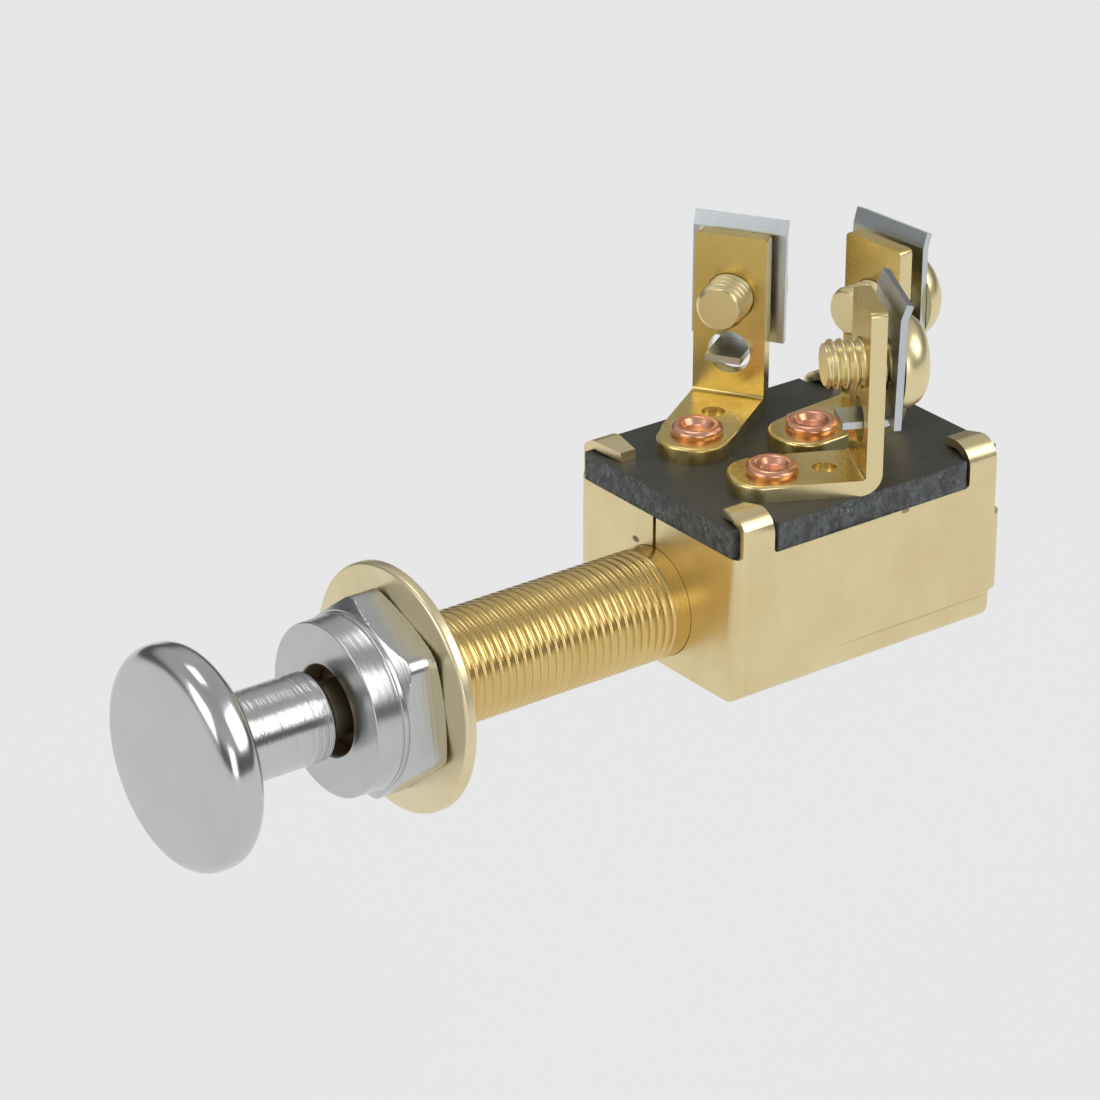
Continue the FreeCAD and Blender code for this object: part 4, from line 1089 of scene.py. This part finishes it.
    def build(self) -> None:
        """Makes the terminal's four pieces."""
        label = self.seat.label
        strip = carried("terminal_" + label)
        soften(strip, self.foot_edge, 60, 4, self.is_foot_outline)
        soften(strip, self.edge, 50, 3)
        piece("terminal_strip_" + label, strip, "housing", "terminal_" + label, ["terminal_" + label], 30)
        self.eyelet()
        plate = carried("clamp_" + label)
        soften(plate, self.plate_edge, 35)
        piece("clamp_plate_" + label, plate, f"clamp_{label}_set", "clamp", ["clamp_" + label], 30)
        self.screw()


@dataclass
class Works:
    """The slide and what rides in it, which keep their CAD meshes."""

    finishes: tuple[tuple[str, str], ...] = (
        ("carriage", "moulding"), ("contact_bridge", "bridge"),
        ("contact_spring_left", "spring"), ("contact_spring_right", "spring"),
        ("detent_ball_left", "rod"), ("detent_ball_right", "rod"))

    def build(self) -> None:
        """Puts each finish on its CAD node."""
        for node, finish in self.finishes:
            STOCK.coat(frame["nodes"][node], finish)


@dataclass(frozen=True)
class Lamp:
    """A square soft lamp: its name, place and side in metres, and power in watts."""

    name: str
    place: tuple[float, float, float]
    size: float
    power: float


@dataclass
class Studio:
    """Camera, lamps, world and floor.

    Attributes:
        azimuth: The camera's turn from -Y towards +X in degrees.
        elevation: Its height angle in degrees.
        roll: Its roll in degrees.
        focal_px: Focal length in pixels of the photo.
        distance: From the origin.
        right_by: The camera's step to its right.
        up_by: Its step up.
        frame_px: The photo's width in pixels.
        shift_px: The lens shift in pixels.
        sensor: The camera sensor's width.
        clip: Near and far limit in metres.
        floor_z: The floor's height.
        floor_half: Half of its width in metres.
        backdrop: The floor's colour.
        aim: What the lamps point at, in metres.
        lamps: The lamps.
        room: The world's brightness from straight down to straight up.
    """

    azimuth: float = 53.19
    elevation: float = 25.60
    roll: float = 0.05
    focal_px: float = 4600
    distance: float = 381.2
    right_by: float = -9.63
    up_by: float = 3.95
    frame_px: float = 1100
    shift_px: Point = (10.82, 2.4)
    sensor: float = 36.0
    clip: tuple[float, float] = (0.01, 20)
    floor_z: float = -60.0
    floor_half: float = 6.0
    backdrop: Colour = srgb(233, 233, 233)
    aim: tuple[float, float, float] = (0, -0.008, 0.004)
    lamps: tuple[Lamp, ...] = (
        Lamp("key", (0.62, 0.50, 0.60), 0.60, 3.0),
        Lamp("front", (-0.05, -0.85, 0.42), 0.55, 2.3),
        Lamp("side", (0.92, -0.42, 0.22), 0.45, 1.4),
        Lamp("overhead", (-0.25, 0.05, 0.95), 0.40, 1.2))
    room: tuple[tuple[float, float], ...] = (
        (0.0, 0.75), (0.46, 0.7), (0.5, 0.11), (0.62, 0.10), (0.69, 0.42), (0.8, 0.52), (1.0, 0.42))

    def camera(self) -> None:
        """Puts the camera where the photograph was taken from."""
        around, above, roll = (math.radians(a) for a in (self.azimuth, self.elevation, self.roll))
        level = math.cos(above)
        back = Vector((math.sin(around) * level, -math.cos(around) * level, math.sin(above)))
        right = Vector((math.cos(around), math.sin(around), 0))
        up = back.cross(right)
        rolled_right = right * math.cos(roll) + up * math.sin(roll)
        rolled_up = -right * math.sin(roll) + up * math.cos(roll)
        place = (back * self.distance + right * self.right_by + up * self.up_by) * MM
        data = bpy.data.cameras.new("camera")
        data.sensor_fit = "HORIZONTAL"
        data.sensor_width = self.sensor
        data.lens = self.sensor * self.focal_px / self.frame_px
        data.shift_x, data.shift_y = (s / self.frame_px for s in self.shift_px)
        data.clip_start, data.clip_end = self.clip
        camera = placed("camera", data)
        turn = Matrix((rolled_right, rolled_up, back)).transposed().to_4x4()
        camera.matrix_world = Matrix.Translation(place) @ turn
        bpy.context.scene.camera = camera

    def hang(self, lamp: Lamp) -> None:
        """Hangs one lamp, aimed at the switch."""
        data = bpy.data.lights.new(lamp.name, "AREA")
        data.shape, data.size, data.energy = "SQUARE", lamp.size, lamp.power
        hung = placed(lamp.name, data)
        hung.location = lamp.place
        turn = (Vector(self.aim) - Vector(lamp.place)).to_track_quat("-Z", "Y")
        hung.rotation_euler = turn.to_euler()

    def world(self) -> None:
        """A room that is pale below, dark at eye level and grey above."""
        world = bpy.data.worlds.new("room")
        bpy.context.scene.world = world
        graph = Graph("room", world)
        height = graph.component(graph.add("TexCoord", out="Generated"), "Z")
        room = graph.ramp(height * 0.5 + 0.5, *self.room)
        light = graph.add("Background", None, {"Color": room, "Strength": 1.0})
        graph.add("OutputWorld", None, {"Surface": light})

    def floor(self) -> None:
        """A pale floor well below the switch, which hangs by its bushing."""
        mesh = bmesh.new()
        bmesh.ops.create_grid(mesh, x_segments=1, y_segments=1, size=self.floor_half)
        bmesh.ops.translate(mesh, verts=mesh.verts, vec=(0, 0, self.floor_z * MM))
        data = bpy.data.meshes.new("floor")
        mesh.to_mesh(data)
        mesh.free()
        graph, pale = Graph("pale_floor"), (*self.backdrop, 1.0)
        diffuse = graph.add("BsdfDiffuse", None, {"Color": pale})
        glow = graph.add("Emission", None, {"Color": pale, "Strength": 1.0})
        seen = graph.add("LightPath", out="Is Camera Ray") + graph.add("LightPath", out="Is Glossy Ray")
        surface = graph.add("MixShader", None, {0: seen * 0.9, 1: diffuse, 2: glow})
        graph.add("OutputMaterial", None, {"Surface": surface})
        data.materials.append(graph.material)
        floor = placed("floor", data)

    def build(self) -> None:
        """Sets up the whole studio."""
        scene = bpy.context.scene
        scene.view_settings.view_transform = "Standard"
        self.camera()
        self.world()
        self.floor()
        for lamp in self.lamps:
            self.hang(lamp)


def main() -> None:
    """Builds the studio and every sub-assembly."""
    logging.basicConfig(level=logging.INFO, format="%(name)s: %(message)s")
    Studio().build()
    Knob().build()
    PanelHardware().build()
    Housing().build()
    for station in Station:
        Terminal(station.value).build()
    Works().build()


if __name__ == "__main__":
    main()
